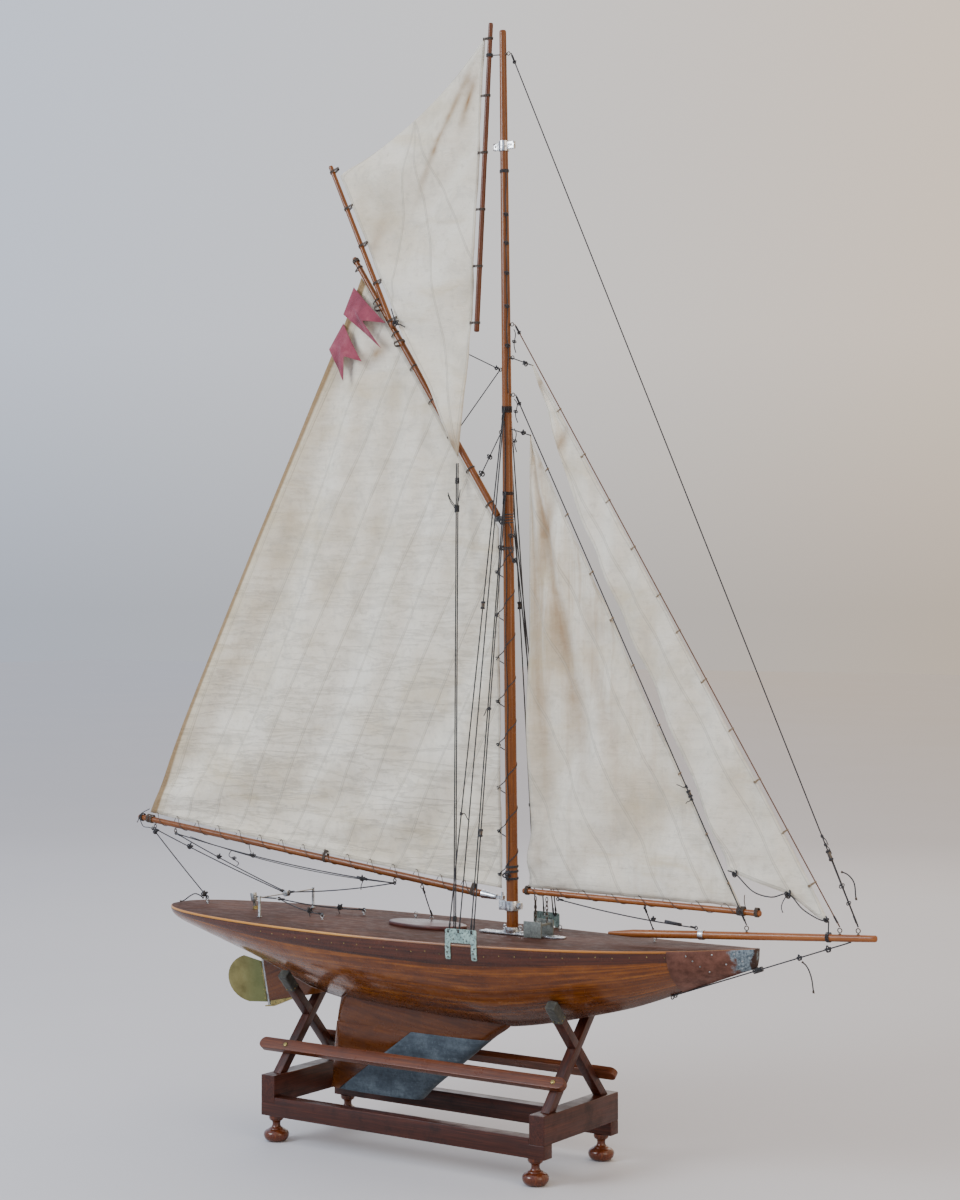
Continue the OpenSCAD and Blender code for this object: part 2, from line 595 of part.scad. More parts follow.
bob_hull = [231, 0, keel_at(231) - 4.2];
bob_end = sprit_at(459) + [0, 0, -sprit_d / 2 - 1.4];
module bobstay() boat() color([0.12, 0.12, 0.13]) {
  for (side = [-1, 1])
    bar(bob_hull + [0, side * 1.6, 0], bob_end + [0, side * 1.6, 0], 1.5, fn = 16);
  translate([bob_hull[0], 0, bob_hull[2] + 1.4])
    rotate([90, 0, 90]) rotate_extrude($fn = 24) translate([2, 0]) circle(d = 1, $fn = 16);
}
// Sliding toggles that set the tension of the lines
module bowsies() boat() color([0.15, 0.14, 0.14]) {
  collar_on(stay_top, stay_foot, 0.925, 14, 5, line_d + 0.12);
  collar_on(inner_top, inner_foot, 0.765, 9, 5, line_d + 0.12);
  for (side = [-1, 1]) {
    e = shroud_ends(side);
    collar_on(e[0][0], e[0][1], 0.62, 10, 4.4, line_d + 0.12);
    collar_on(e[3][0], e[3][1], 0.22, 10, 4.4, line_d + 0.12);
  }
}
tail_d = 1.6;
stay_tail_pts = [[452, 2, 396], [458, 3, 394], [463, 4, 390], [466, 6, 384], [467, 7, 377],
  [467, 8, 370], [468, 8, 364]];
bob_tail_pts = [[401, 4, 288], [405, 6, 284], [408, 7, 279], [410, 8, 273], [412, 8, 266],
  [413, 8, 259], [414, 8, 252]];
stern_tail_pts = [[-514, -2, 296], [-519, -4, 300], [-526, -6, 302], [-533, -8, 299],
  [-538, -10, 295], [-543, -12, 291.5], [-547, -14, 291]];
module stay_tail() boat() color([0.12, 0.12, 0.13]) swept(route(stay_tail_pts, 3), tail_d);
module bobstay_tail() boat() color([0.12, 0.12, 0.13]) swept(route(bob_tail_pts, 3), tail_d);
module stern_tail() boat() color([0.12, 0.12, 0.13]) swept(route(stern_tail_pts, 3), tail_d);

// ---------------------------------------------------------------- main rig
boom_end = [-636.5, 0, 403];
boom_start = [-46, 0, 335.6];
module boom() boat() color([0.68, 0.34, 0.12]) bar(boom_end, boom_start, boom_d - 1.4, boom_d);
module boom_ferrule() boat() color([0.82, 0.82, 0.84]) {
  fore = [-24, 0, 333.1];
  bar(boom_start + [gap, 0, 0], fore, 11, 7);
  on_mast(330.6) translate([pin_x, 0, 0]) difference() {
    union() {
      cylinder(h = 5, r = 3.6, $fn = 28);
      translate([-11, -1.5, 0.5]) cube([8.5, 3, 4]);
    }
    translate([0, 0, -1]) cylinder(h = 7, r = 1.5 + fit, $fn = 24);
  }
}
function boom_at(x) =
  boom_start + (boom_end - boom_start) * (boom_start[0] - x) / (boom_start[0] - boom_end[0]);
module boom_eyes() boat() color([0.35, 0.33, 0.3])
  for (x = [-606, -568, -185, -141])
    translate(boom_at(x) + [0, 0, -boom_d / 2 - 0.15]) rotate([180, 0, 0]) screw_eye(2.2, 1.4);

gaff_throat = [-22, 0, 815];
gaff_peak = [-252, 0, 1163];
module gaff() boat() color([0.7, 0.38, 0.14]) bar(gaff_throat, gaff_peak, gaff_d, gaff_d - 1.6);
topsail_y = -9;
yard_low = [-49, topsail_y, 1050];
yard_top = [-27, topsail_y, 1440];
jack_low = [-181, topsail_y, 1064];
jack_top = [-285, topsail_y, 1287];
module topsail_yard() boat() color([0.5, 0.26, 0.1]) bar(yard_low, yard_top, yard_d, yard_d - 1);
module jackyard() boat() color([0.62, 0.34, 0.13]) bar(jack_low, jack_top, yard_d, yard_d - 1);

main_outline = [[-16, 345], [-18, 470], [-20, 640], [-21, 800], [-93, 912.5], [-173, 1033.5],
  [-240, 1136], [-343, 930], [-461, 709], [-616, 410], [-400, 383.5], [-200, 361]];
module mainsail() boat() color([0.9, 0.87, 0.78]) sheet(main_outline, sail_t);
topsail_outline = [[-36, 1424], [-58, 1050], [-66, 980], [-78, 892], [-100, 936], [-121, 982],
  [-146, 1022], [-172, 1066], [-268, 1272], [-206, 1308], [-150, 1340], [-90, 1382]];
module topsail() boat() color([0.9, 0.87, 0.78]) sheet(topsail_outline, sail_t, topsail_y);
pennant_upper = [[-250, 1123.5], [-267.5, 1089], [-195, 1038], [-228, 1077], [-190, 1071]];
pennant_lower = [[-267.5, 1077], [-291.5, 1044], [-258, 999], [-258, 1032], [-229, 1023]];
module pennants() boat() color([0.62, 0.3, 0.36]) {
  sheet(pennant_upper, sail_t, -14);
  sheet(pennant_lower, sail_t, -5);
}
horse_top = [horse_x, 0, sheer_z + horse_h + 5];
tack_foot = [-22, -half_beam(-22) + 2, chain_z];
tack_head = [-79, topsail_y, 884];
tack_gap = 2.6;            // between the two parts of the topsail's tack line
module main_sheets() boat() color([0.12, 0.12, 0.13]) {
  bar(boom_at(-606) + [0, -1, -12], horse_top + [-3, -1, 0], line_d, fn = 16);
  bar(boom_at(-568) + [0, 1, -12], horse_top + [-3, 3, 0], line_d, fn = 16);
  bar(boom_at(-185) + [-1, 1, -12], horse_top + [4, 1, 1], line_d, fn = 16);
  bar(boom_at(-606) + [-5, 0, -12], [-509, 0, 298], line_d, fn = 16);
  bar(boom_at(-141) + [0, 3, -12], [-150, 34, 297], line_d, fn = 16);
  for (dx = [-tack_gap, tack_gap] / 2)
    bar(tack_foot + [dx, 0, 0], tack_head + [dx, 0, 0], line_d, fn = 16);
}
// ---------------------------------------------------------------- headsails
club_y = 5.8;              // the club lies beside the stay it swings round
club_aft = [12, club_y, 343];
club_fore = [347, club_y, 339.5];
module staysail_club() boat() color([0.72, 0.36, 0.12]) {
  bar(club_aft, club_fore, club_d - 1, club_d);
  for (x = [40, 100, 160, 220, 280, 335])
    translate([x, club_y, 341.5]) rotate([0, 90, 0])
      difference() {
        cylinder(h = 2, r = club_d / 2 + 0.8, center = true, $fn = 20);
        cylinder(h = 4, r = club_d / 2 + 0.05, center = true, $fn = 20);
      }
}
staysail_outline = [[24, 918], [21, 830], [20, 700], [20, 520], [22, 349], [120, 348], [230, 347],
  [322, 345], [250, 480], [170, 634], [95, 780]];
module staysail() boat() color([0.9, 0.87, 0.78]) sheet(staysail_outline, sail_t, 3.4);
module staysail_sheet() boat() color([0.12, 0.12, 0.13]) {
  bar([64, club_y, 336], sprit_at(262) + [0, 2, sprit_d / 2 + 3], line_d, fn = 16);
  bar([189, club_y, 335], [189, 30, 300.6], line_d, fn = 16);
  for (x = [bracket_x + 4.5, bracket_x + 21.5])
    bar([x, club_y, 336.5], [x, club_y, 306], line_d, fn = 16);
}
jib_outline = [[29, 1006], [60, 916], [104, 806], [172, 666], [240, 532], [306, 388], [345, 378],
  [386, 366], [412, 346], [437, 338], [390, 420], [290, 584], [160, 798]];
module jib() boat() color([0.9, 0.87, 0.78]) sheet(jib_outline, sail_t);

// ---------------------------------------------------------------- stand
stand_aft = -339;
rail_w = 18;
rail_h = 25;
board_t = 22;
board_h = 36;
lap = 8;
foot_x = [-321.7, 84];
foot_y = 76.3;
stand_fore = stand_aft + rail_len;
module wood_dark() color([0.32, 0.14, 0.09]) children();

module rail(side)
  difference() {
    translate([stand_aft, side > 0 ? stand_half_w - rail_w : -stand_half_w, foot_h])
      cube([rail_len, rail_w, rail_h]);
    for (x = [stand_aft, stand_fore - board_t])
      translate([x - gap, side > 0 ? stand_half_w - rail_w - 1 : -stand_half_w - 1,
        foot_h + rail_h - lap])
        cube([board_t + 2 * gap, rail_w + 2, rail_h]);
  }
module rail_port() boat() wood_dark() rail(1);
module rail_starboard() boat() wood_dark() rail(-1);
module end_board(x)
  translate([x, -stand_half_w, foot_h + rail_h - lap + gap])
    cube([board_t, 2 * stand_half_w, board_h]);
module end_board_aft() boat() wood_dark() end_board(stand_aft);
module end_board_fore() boat() wood_dark() end_board(stand_fore - board_t);

board_top = foot_h + rail_h - lap + gap + board_h;
leg_foot_y = 61;
leg_t = 11.2;
leg_up = 80;               // from the crossing to the leg's end
lean = atan2(leg_foot_y, cross_z - board_top);
leg_stations = [stand_aft + board_t / 2, stand_fore - board_t / 2];
// A square bar along one leg; side is where its foot stands
module leg_bar(side, w, t, z0, z1)
  translate([0, 0, cross_z]) rotate([side * lean, 0, 0])
    translate([-w / 2, -t / 2, z0]) cube([w, t, z1 - z0]);
// The two legs are halved into each other where they cross
module leg(side)
  difference() {
    leg_bar(side, leg_w, leg_t, -110, leg_up);
    translate([-50, -150, board_top + gap - 60]) cube([100, 300, 60]);
    translate([side * leg_w / 2, 0, 0]) leg_bar(-side, leg_w + gap, leg_t + gap, -30, 30);
  }
module legs(x) translate([x, 0, 0]) for (side = [-1, 1]) leg(side);
module legs_aft() boat() wood_dark() legs(leg_stations[0]);
module legs_fore() boat() wood_dark() legs(leg_stations[1]);

pad_len = 27;
pad_t = 1.1;
module leg_pads() boat() color([0.2, 0.2, 0.18])
  for (x = leg_stations, side = [-1, 1]) translate([x, 0, 0])
    difference() {
      leg_bar(side, leg_w + 2 * pad_t, leg_t + 2 * pad_t, leg_up - pad_len, leg_up + pad_t);
      leg_bar(side, leg_w + gap, leg_t + gap, leg_up - pad_len - 1, leg_up + gap);
    }

stretcher_h = 16;
stretcher_t = 9;
stretcher_down = 58.6;     // from the crossing, along the leg
// Runs a child onto the outer face of the legs, at the stretcher's height
module on_leg_face(side, out)
  translate([0, 0, cross_z]) rotate([side * lean, 0, 0])
    translate([0, side * (leg_t / 2 + gap + out), -stretcher_down]) children();
module stretcher(side, x0, x1)
  on_leg_face(side, stretcher_t / 2) rotate([90, 0, 0])
    linear_extrude(stretcher_t, center = true) {
      r = stretcher_h / 2;
      translate([x0 + r, -r]) square([x1 - x0 - stretcher_h, stretcher_h]);
      translate([x0 + r, 0]) circle(r = r, $fn = 32);
      translate([x1 - r, 0]) circle(r = r, $fn = 32);
    }
module stretcher_port() boat() color([0.42, 0.2, 0.11]) stretcher(1, -342, 124);
module stretcher_starboard() boat() color([0.48, 0.24, 0.12]) stretcher(-1, -372, 108);

module bun_feet() boat() color([0.4, 0.18, 0.1])
  for (x = foot_x, side = [-1, 1]) translate([x, side * foot_y, 0])
    rotate_extrude($fn = 48) polygon([[0, 0], [10, 0], [13.5, 1.8], [16, 5.5], [16.6, 9], [15.5, 12.5],
      [12, 15.5], [7.5, 17.5], [5.6, 20], [5.2, 23.5], [6, 26.5], [8.6, 28.4], [9.6, 30.2],
      [9.6, foot_h - gap], [0, foot_h - gap]]);
module stand_screws() boat() color([0.5, 0.42, 0.3])
  for (x = leg_stations, side = [-1, 1])
    on_leg_face(side, stretcher_t + gap) translate([x, 0, 0]) rotate([-side * 90, 0, 0])
      cylinder(h = 1.4, r1 = 3.4, r2 = 2.6, $fn = 24);

rail_port();
rail_starboard();
end_board_aft();
end_board_fore();
legs_aft();
legs_fore();
stretcher_port();
stretcher_starboard();
bun_feet();
leg_pads();
stand_screws();
hull_shell();
deck_panel();
keel_fin();
keel_deadwood();
lead_ballast();
skeg();
skeg_heel_strap();
rudder_tube();
stem_cap();
chainplates();
mast_slide_plate();
mast_collar();
mast();
gooseneck_band();
masthead_band();
mast_eyes();
bowsprit();
gammon_strap();
bowsprit_eyes();
deck_eyes();
sheet_horse();
club_bracket();
shrouds();
topmast_stay();
jib_stay();
inner_stay();
bobstay();
bowsies();
stay_tail();
bobstay_tail();
stern_tail();
hatch_cover();
rudder_stock();
rudder_blade();
tiller();
boom();
boom_ferrule();
boom_eyes();
gaff();
topsail_yard();
jackyard();
mainsail();
topsail();
pennants();
main_sheets();
staysail_club();
staysail();
staysail_sheet();
jib();
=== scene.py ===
"""Looks of a vintage gaff-rigged pond yacht on its cradle stand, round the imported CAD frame.

Points of the yacht are given in millimetres from the mast's centre line (x towards the bow,
y to port) and from the floor (z). at() turns them into the frame's metres.
"""
import json
import math

import bmesh
import bpy
import numpy as np
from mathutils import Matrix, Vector

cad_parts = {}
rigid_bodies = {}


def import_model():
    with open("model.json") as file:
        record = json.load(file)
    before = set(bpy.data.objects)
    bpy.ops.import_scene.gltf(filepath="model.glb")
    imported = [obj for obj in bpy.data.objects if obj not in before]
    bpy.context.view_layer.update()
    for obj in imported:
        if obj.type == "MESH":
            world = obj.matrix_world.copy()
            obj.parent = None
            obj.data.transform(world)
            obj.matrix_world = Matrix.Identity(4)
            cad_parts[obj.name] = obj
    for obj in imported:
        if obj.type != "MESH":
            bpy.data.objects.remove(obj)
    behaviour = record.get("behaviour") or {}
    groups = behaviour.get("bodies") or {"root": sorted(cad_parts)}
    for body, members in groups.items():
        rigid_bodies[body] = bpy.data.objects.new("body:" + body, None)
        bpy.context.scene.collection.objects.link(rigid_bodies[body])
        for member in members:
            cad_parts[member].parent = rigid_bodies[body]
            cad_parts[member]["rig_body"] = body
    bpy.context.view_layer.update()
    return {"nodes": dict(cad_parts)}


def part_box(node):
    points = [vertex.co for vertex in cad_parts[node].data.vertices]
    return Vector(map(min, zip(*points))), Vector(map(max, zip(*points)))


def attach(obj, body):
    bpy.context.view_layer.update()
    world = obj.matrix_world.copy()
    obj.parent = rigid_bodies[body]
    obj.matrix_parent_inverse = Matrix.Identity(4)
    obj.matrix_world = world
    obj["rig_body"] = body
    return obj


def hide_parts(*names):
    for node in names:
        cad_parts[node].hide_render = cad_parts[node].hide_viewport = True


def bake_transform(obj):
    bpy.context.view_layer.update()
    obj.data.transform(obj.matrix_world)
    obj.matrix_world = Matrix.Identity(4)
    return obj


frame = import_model()
NODES = frame["nodes"]
scene = bpy.context.scene

MAST_FOOT_R = 7.5
MAST_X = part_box("mast")[1].x * 1000 - MAST_FOOT_R


def at(x, y, z):
    """A point in the frame's metres."""
    return Vector(((x + MAST_X) / 1000, y / 1000, z / 1000))


# ------------------------------------------------------------------ shader kit
class Value:
    """A number inside a node tree. Arithmetic on it adds Math nodes."""

    def __init__(self, tree, socket):
        self.tree, self.socket = tree, socket

    def __add__(self, other):
        return self.tree.math("ADD", self, other)

    def __sub__(self, other):
        return self.tree.math("SUBTRACT", self, other)

    def __mul__(self, other):
        return self.tree.math("MULTIPLY", self, other)

    def __truediv__(self, other):
        return self.tree.math("DIVIDE", self, other)

    def __abs__(self):
        return self.tree.math("ABSOLUTE", self)


class Tree:
    """Builds shader nodes in a node tree."""

    def __init__(self, tree):
        self.nodes, self.links = tree.nodes, tree.links

    def feed(self, socket, value):
        if isinstance(value, Value):
            value = value.socket
        if isinstance(value, bpy.types.NodeSocket):
            self.links.new(value, socket)
        elif socket.type == "RGBA":
            socket.default_value = (*value, 1)
        else:
            socket.default_value = value

    def node(self, kind, output, inputs, **settings):
        """Adds a node, feeds its inputs and gives back one of its outputs."""
        node = self.nodes.new("ShaderNode" + kind)
        for key, value in settings.items():
            setattr(node, key, value)
        for key, value in inputs.items():
            self.feed(node.inputs[key], value)
        found = node.outputs[output]
        return Value(self, found) if found.type == "VALUE" else found

    def attribute(self, name, output="Vector"):
        return self.node("Attribute", output, {}, attribute_name=name)

    def scaled(self, source, scale):
        return self.node("Mapping", "Vector", {"Vector": source, "Scale": scale})

    def noise(self, source, scale=1.0, detail=4.0, rough=0.55, twist=0.0):
        return self.node("TexNoise", "Fac", {"Vector": source, "Scale": scale, "Detail": detail,
                                             "Roughness": rough, "Distortion": twist})

    def split(self, source):
        node = self.nodes.new("ShaderNodeSeparateXYZ")
        self.links.new(source, node.inputs[0])
        return [Value(self, output) for output in node.outputs]

    def math(self, op, *values, clamp=False):
        return self.node("Math", 0, dict(enumerate(values)), operation=op, use_clamp=clamp)

    def remap(self, value, low, high, to_low=0.0, to_high=1.0):
        return self.node("MapRange", "Result", {
            "Value": value, "From Min": low, "From Max": high, "To Min": to_low,
            "To Max": to_high}, interpolation_type="SMOOTHSTEP")

    def ramp(self, factor, *stops):
        node = self.nodes.new("ShaderNodeValToRGB")
        self.feed(node.inputs["Fac"], factor)
        elements = node.color_ramp.elements
        while len(elements) < len(stops):
            elements.new(0.5)
        for element, (position, colour) in zip(elements, stops):
            element.position, element.color = position, (*colour, 1)
        return node.outputs["Color"]

    def mix(self, factor, a, b, mode="MIX"):
        return self.node("Mix", 2, {0: factor, 6: a, 7: b}, data_type="RGBA", blend_type=mode)


class Shader(Tree):
    """A Principled material with procedural colour, roughness and bump."""

    def __init__(self, name, **sockets):
        self.material = bpy.data.materials.new(name)
        self.material.use_nodes = True
        super().__init__(self.material.node_tree)
        self.bsdf = self.nodes["Principled BSDF"]
        self.bsdf.inputs["Specular IOR Level"].default_value = 0.28
        for key, value in sockets.items():
            self.bsdf.inputs[key.replace("_", " ")].default_value = value
        self.place = self.node("TexCoord", "Object", {})

    def blob(self, x, z, rx, rz, turn):
        """A soft ellipse in the XZ plane: 1 at its centre, 0 outside."""
        spot = self.node("Mapping", "Vector", {
            "Vector": self.place, "Location": at(x, 0, z), "Scale": (rx / 1000, 10, rz / 1000),
            "Rotation": (0, -math.radians(turn), 0)}, vector_type="TEXTURE")
        return self.node("TexGradient", "Fac", {"Vector": spot}, gradient_type="QUADRATIC_SPHERE")

    def finish(self, colour, rough=None, height=None, strength=0.3, distance=0.0005):
        self.feed(self.bsdf.inputs["Base Color"], colour)
        if rough is not None:
            self.feed(self.bsdf.inputs["Roughness"], rough)
        if height is not None:
            bump = self.node("Bump", "Normal", {"Strength": strength, "Distance": distance,
                                                "Height": height})
            self.links.new(bump, self.bsdf.inputs["Normal"])
        return self.material


# ------------------------------------------------------------------ camera and light
cam = bpy.data.objects.new("camera", bpy.data.cameras.new("camera"))
scene.collection.objects.link(cam)
cam.location = (1.6489, -2.3744, 0.6989)
cam.rotation_euler = (math.radians(90.207), 0, math.radians(34.45))
cam.data.lens = 67.8
cam.data.sensor_width = 36
cam.data.clip_start = 0.05
scene.camera = cam


def area_light(name, place, target, size, power, colour):
    light = bpy.data.lights.new(name, "AREA")
    light.shape = "RECTANGLE"
    light.size, light.size_y = size
    light.energy = power
    light.color = colour
    o = bpy.data.objects.new(name, light)
    o.location = place
    o.rotation_euler = (Vector(target) - Vector(place)).to_track_quat("-Z", "Y").to_euler()
    scene.collection.objects.link(o)


area_light("key", (-1.7, -2.7, 2.3), (0, 0, 0.65), (1.8, 1.6), 105, (0.9, 0.95, 1.0))
area_light("fill", (3.2, -0.9, 1.7), (0.1, 0, 0.6), (2.0, 2.4), 34, (1.0, 0.9, 0.78))
area_light("top", (0.2, 0.6, 3.3), (0, 0, 0.4), (3.0, 3.0), 12, (1.0, 0.98, 0.95))
area_light("back", (-1.2, 3.0, 1.9), (0, 0, 0.6), (2.6, 1.8), 18, (0.93, 0.96, 1.0))

world = bpy.data.worlds.new("studio")
scene.world = world
world.use_nodes = True
background = world.node_tree.nodes["Background"]
studio = Tree(world.node_tree)
sky = studio.node("TexCoord", "Generated", {})


def sky_fade(direction, *stops):
    """A colour ramp over the sky, along a direction fixed in the room."""
    dot = studio.node("VectorMath", "Value", {0: sky, 1: direction}, operation="DOT_PRODUCT")
    return studio.ramp(dot * 0.5 + 0.5, *stops)


# Cool on the room's left, warm on its right, and brighter overhead
room = sky_fade((0.82, 0.57, 0), (0.36, (0.66, 0.75, 0.93)), (0.5, (0.80, 0.79, 0.80)),
                (0.64, (0.95, 0.76, 0.57)))
height = sky_fade((0, 0, 1), (0.5, (0.50, 0.50, 0.50)), (0.56, (0.74, 0.74, 0.74)),
                  (0.95, (0.95, 0.95, 0.95)))
studio.feed(background.inputs["Color"], studio.mix(1, room, height, "MULTIPLY"))
background.inputs["Strength"].default_value = 1.5


# ------------------------------------------------------------------ mesh kit
UP = Vector((0, 0, 1))


def circle(count):
    """The cosine and sine of angles spaced evenly round a turn."""
    return [(math.cos(math.tau * k / count), math.sin(math.tau * k / count)) for k in range(count)]


def basis(axis):
    """Two directions square to axis, and axis itself."""
    w = Vector(axis).normalized()
    helper = Vector((0, 1, 0)) if abs(w.y) < 0.8 else Vector((1, 0, 0))
    u = w.cross(helper).normalized()
    return u, w.cross(u).normalized(), w


def ring_faces(rows, columns, closed_rows=False, wrap=True):
    faces = []
    for i in range(rows if closed_rows else rows - 1):
        a, b = i * columns, ((i + 1) % rows) * columns
        for k in range(columns if wrap else columns - 1):
            k2 = (k + 1) % columns
            faces.append((a + k, a + k2, b + k2, b + k))
    return faces


def caps(rows, columns):
    """The two end faces of a stack of rings."""
    last = (rows - 1) * columns
    return [tuple(range(columns - 1, -1, -1)), tuple(range(last, last + columns))]


def sweep(points, radius, sides=10, closed=False, grain=False):
    """A round tube along points. radius is one number, or one for each point."""
    pts = [Vector(p) for p in points]
    n = len(pts)
    radii = list(radius) if hasattr(radius, "__len__") else [radius] * n
    tangents = []
    for i in range(n):
        a, b = (pts[i - 1], pts[(i + 1) % n]) if closed else (pts[max(i - 1, 0)],
                                                             pts[min(i + 1, n - 1)])
        t = b - a
        tangents.append(t.normalized() if t.length > 1e-12 else tangents[-1])
    u = basis(tangents[0])[0]
    verts, local, run, ring = [], [], 0.0, circle(sides)
    for i, t in enumerate(tangents):
        u = (u - t * u.dot(t)).normalized()
        v = t.cross(u)
        run += (pts[i] - pts[i - 1]).length if i else 0
        for k, (c, s) in enumerate(ring):
            verts.append(pts[i] + (u * c + v * s) * radii[i])
            local.append((radii[i] * c, radii[i] * s, run) if grain
                         else (k / sides, run, radii[i]))
    faces = ring_faces(n, sides, closed)
    if not closed:
        faces += caps(n, sides)
    return verts, faces, local


def merged(parts):
    verts, faces, local = [], [], []
    for v, f, l in parts:
        base = len(verts)
        verts += v
        faces += [tuple(base + i for i in face) for face in f]
        local += l
    return verts, faces, local


def write_local(mesh, values):
    data = mesh.attributes.get("local") or mesh.attributes.new("local", "FLOAT_VECTOR", "POINT")
    data.data.foreach_set("vector", np.array(values, np.float32).ravel())


def smooth_shade(mesh):
    mesh.polygons.foreach_set("use_smooth", [True] * len(mesh.polygons))


def piece(name, part, material, body=None, stands_for=(), sharp=None):
    """A mesh object out of a part, riding on a body."""
    verts, faces, local = part
    mesh = bpy.data.meshes.new(name)
    mesh.from_pydata([tuple(v) for v in verts], [], faces)
    if local:
        write_local(mesh, local)
    smooth_shade(mesh)
    if sharp:
        mesh.set_sharp_from_angle(angle=math.radians(sharp))
    mesh.materials.append(material)
    mesh.validate()
    o = bpy.data.objects.new(name, mesh)
    scene.collection.objects.link(o)
    if stands_for:
        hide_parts(*stands_for)
    if body:
        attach(o, body)
    return o


def apply_modifiers(o):
    """Bakes the object's modifiers into its mesh."""
    graph = bpy.context.evaluated_depsgraph_get()
    mesh = bpy.data.meshes.new_from_object(o.evaluated_get(graph), depsgraph=graph)
    o.modifiers.clear()
    old, o.data = o.data, mesh
    bpy.data.meshes.remove(old)
    return o


def hem(o, levels, thickness):
    """Smooths a sheet and gives it a thickness in metres."""
    sub = o.modifiers.new("smooth", "SUBSURF")
    sub.levels = sub.render_levels = levels
    sub.boundary_smooth = "PRESERVE_CORNERS"
    thick = o.modifiers.new("thick", "SOLIDIFY")
    thick.thickness, thick.offset = thickness, 0
    apply_modifiers(o)
    smooth_shade(o.data)


def grain_along(o, axis):
    """Writes 'local' so that the grain of a wooden piece runs along axis."""
    u, v, w = basis(axis)
    co = np.array([p.co for p in o.data.vertices]) @ np.array([u, v, w]).T
    write_local(o.data, co)


def refine(node, material, bevel=0.5, segments=2, corner=35, grain=None):
    """The CAD node's own shape with its edges rounded by bevel millimetres."""
    bm = bmesh.new()
    bm.from_mesh(NODES[node].data)
    bmesh.ops.remove_doubles(bm, verts=bm.verts, dist=2e-6)
    bmesh.ops.dissolve_limit(bm, angle_limit=math.radians(0.6), verts=bm.verts, edges=bm.edges)
    if bevel:
        edges = [e for e in bm.edges
                 if len(e.link_faces) == 2 and e.calc_face_angle(0) > math.radians(corner)]
        bmesh.ops.bevel(bm, geom=edges, offset=bevel / 1000, segments=segments, profile=0.6,
                        affect="EDGES", clamp_overlap=True)
    bmesh.ops.triangulate(bm, faces=[f for f in bm.faces if len(f.verts) > 4])
    made = bpy.data.meshes.new(node + "_finished")
    bm.to_mesh(made)
    bm.free()
    smooth_shade(made)
    made.set_sharp_from_angle(angle=math.radians(corner + 8))
    made.materials.clear()
    made.materials.append(material)
    o = bpy.data.objects.new(node + "_finished", made)
    scene.collection.objects.link(o)
    if grain:
        grain_along(o, grain)
    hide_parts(node)
    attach(o, NODES[node]["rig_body"])
    return o


def smooth_path(points, steps=6):
    """Catmull-Rom points through a short list."""
    p = [Vector(q) for q in points]
    out = []
    for i in range(len(p) - 1):
        a, b, c, d = p[max(i - 1, 0)], p[i], p[i + 1], p[min(i + 2, len(p) - 1)]
        for s in range(steps):
            t = s / steps
            out.append(0.5 * (2 * b + (c - a) * t + (2 * a - 5 * b + 4 * c - d) * t * t
                              + (3 * b - a - 3 * c + d) * t ** 3))
    return out + [p[-1]]


def helix(a, b, radius, turns, start=0.0, per_turn=16):
    """Points that wind round the line from a to b."""
    a, b = Vector(a), Vector(b)
    u, v, _ = basis(b - a)
    count = max(int(turns * per_turn), 4)
    out = []
    for i in range(count + 1):
        f = i / count
        angle = start + math.tau * turns * f
        out.append(a.lerp(b, f) + (u * math.cos(angle) + v * math.sin(angle)) * radius)
    return out


# ------------------------------------------------------------------ materials
def wood(name, dark, mid, light, rough=(0.25, 0.45), coat=0.4, grime=0.35, figure=1.0):
    """Varnished timber whose grain runs along the third part of the attribute 'local'."""
    s = Shader(name, Coat_Weight=coat, Coat_Roughness=0.12)
    grain = s.attribute("local")
    fibres = s.noise(s.scaled(grain, (900 * figure, 900 * figure, 16)), detail=5, twist=0.6)
    bands = s.noise(s.scaled(grain, (170 * figure, 170 * figure, 5)), detail=3, twist=1.5)
    pores = s.noise(s.scaled(grain, (2600, 2600, 90)), detail=2)
    tone = fibres * 0.55 + bands * 0.45
    colour = s.ramp(tone, (0.30, dark), (0.5, mid), (0.70, light))
    colour = s.mix(s.remap(pores, 0.58, 0.72, 0, 0.35), colour, dark)
    dirt = s.noise(s.place, scale=28, detail=6, rough=0.7)
    colour = s.mix(s.remap(dirt, 0.48, 0.75, 0, grime), colour, tuple(c * 0.35 for c in dark))
    roughness = s.remap(dirt, 0.3, 0.7, *rough)
    return s.finish(colour, roughness, fibres + dirt * 0.6, 0.16, 0.0004)


def metal(name, low, high, rough=(0.15, 0.4), metallic=1.0, spots=None, scale=120):
    """Metal with a patchy tone, fine scratches and, where spots is given, corrosion."""
    s = Shader(name, Metallic=metallic)
    patch = s.noise(s.place, scale=scale, detail=6, rough=0.65)
    scratch = s.noise(s.scaled(s.place, (300, 2400, 1500)), detail=2)
    colour = s.ramp(patch, (0.32, low), (0.66, high))
    roughness = s.remap(patch + scratch * 0.3, 0.4, 0.9, *rough)
    if spots:
        bloom = s.remap(s.noise(s.place, scale=scale * 2.6, detail=7, rough=0.75), 0.5, 0.62)
        colour = s.mix(bloom, colour, spots)
        roughness = s.math("MAXIMUM", roughness, bloom * 0.75)
    return s.finish(colour, roughness, patch + scratch, 0.12, 0.0003)


def line_material(name, dark, light):
    """Braided line: 'local' holds turns round the line and metres along it."""
    s = Shader(name, Roughness=0.62, Sheen_Weight=0.15)
    parts = s.split(s.attribute("local"))
    around = parts[0] * (math.tau * 3)
    along = parts[1] * (math.tau / 0.0022)
    plait = s.math("SINE", around + along) + s.math("SINE", around - along)
    fuzz = s.noise(s.place, scale=900, detail=3)
    tone = plait * 0.2 + fuzz * 0.9
    return s.finish(s.ramp(tone, (0.2, dark), (0.9, light)), None, plait, 0.5, 0.0002)


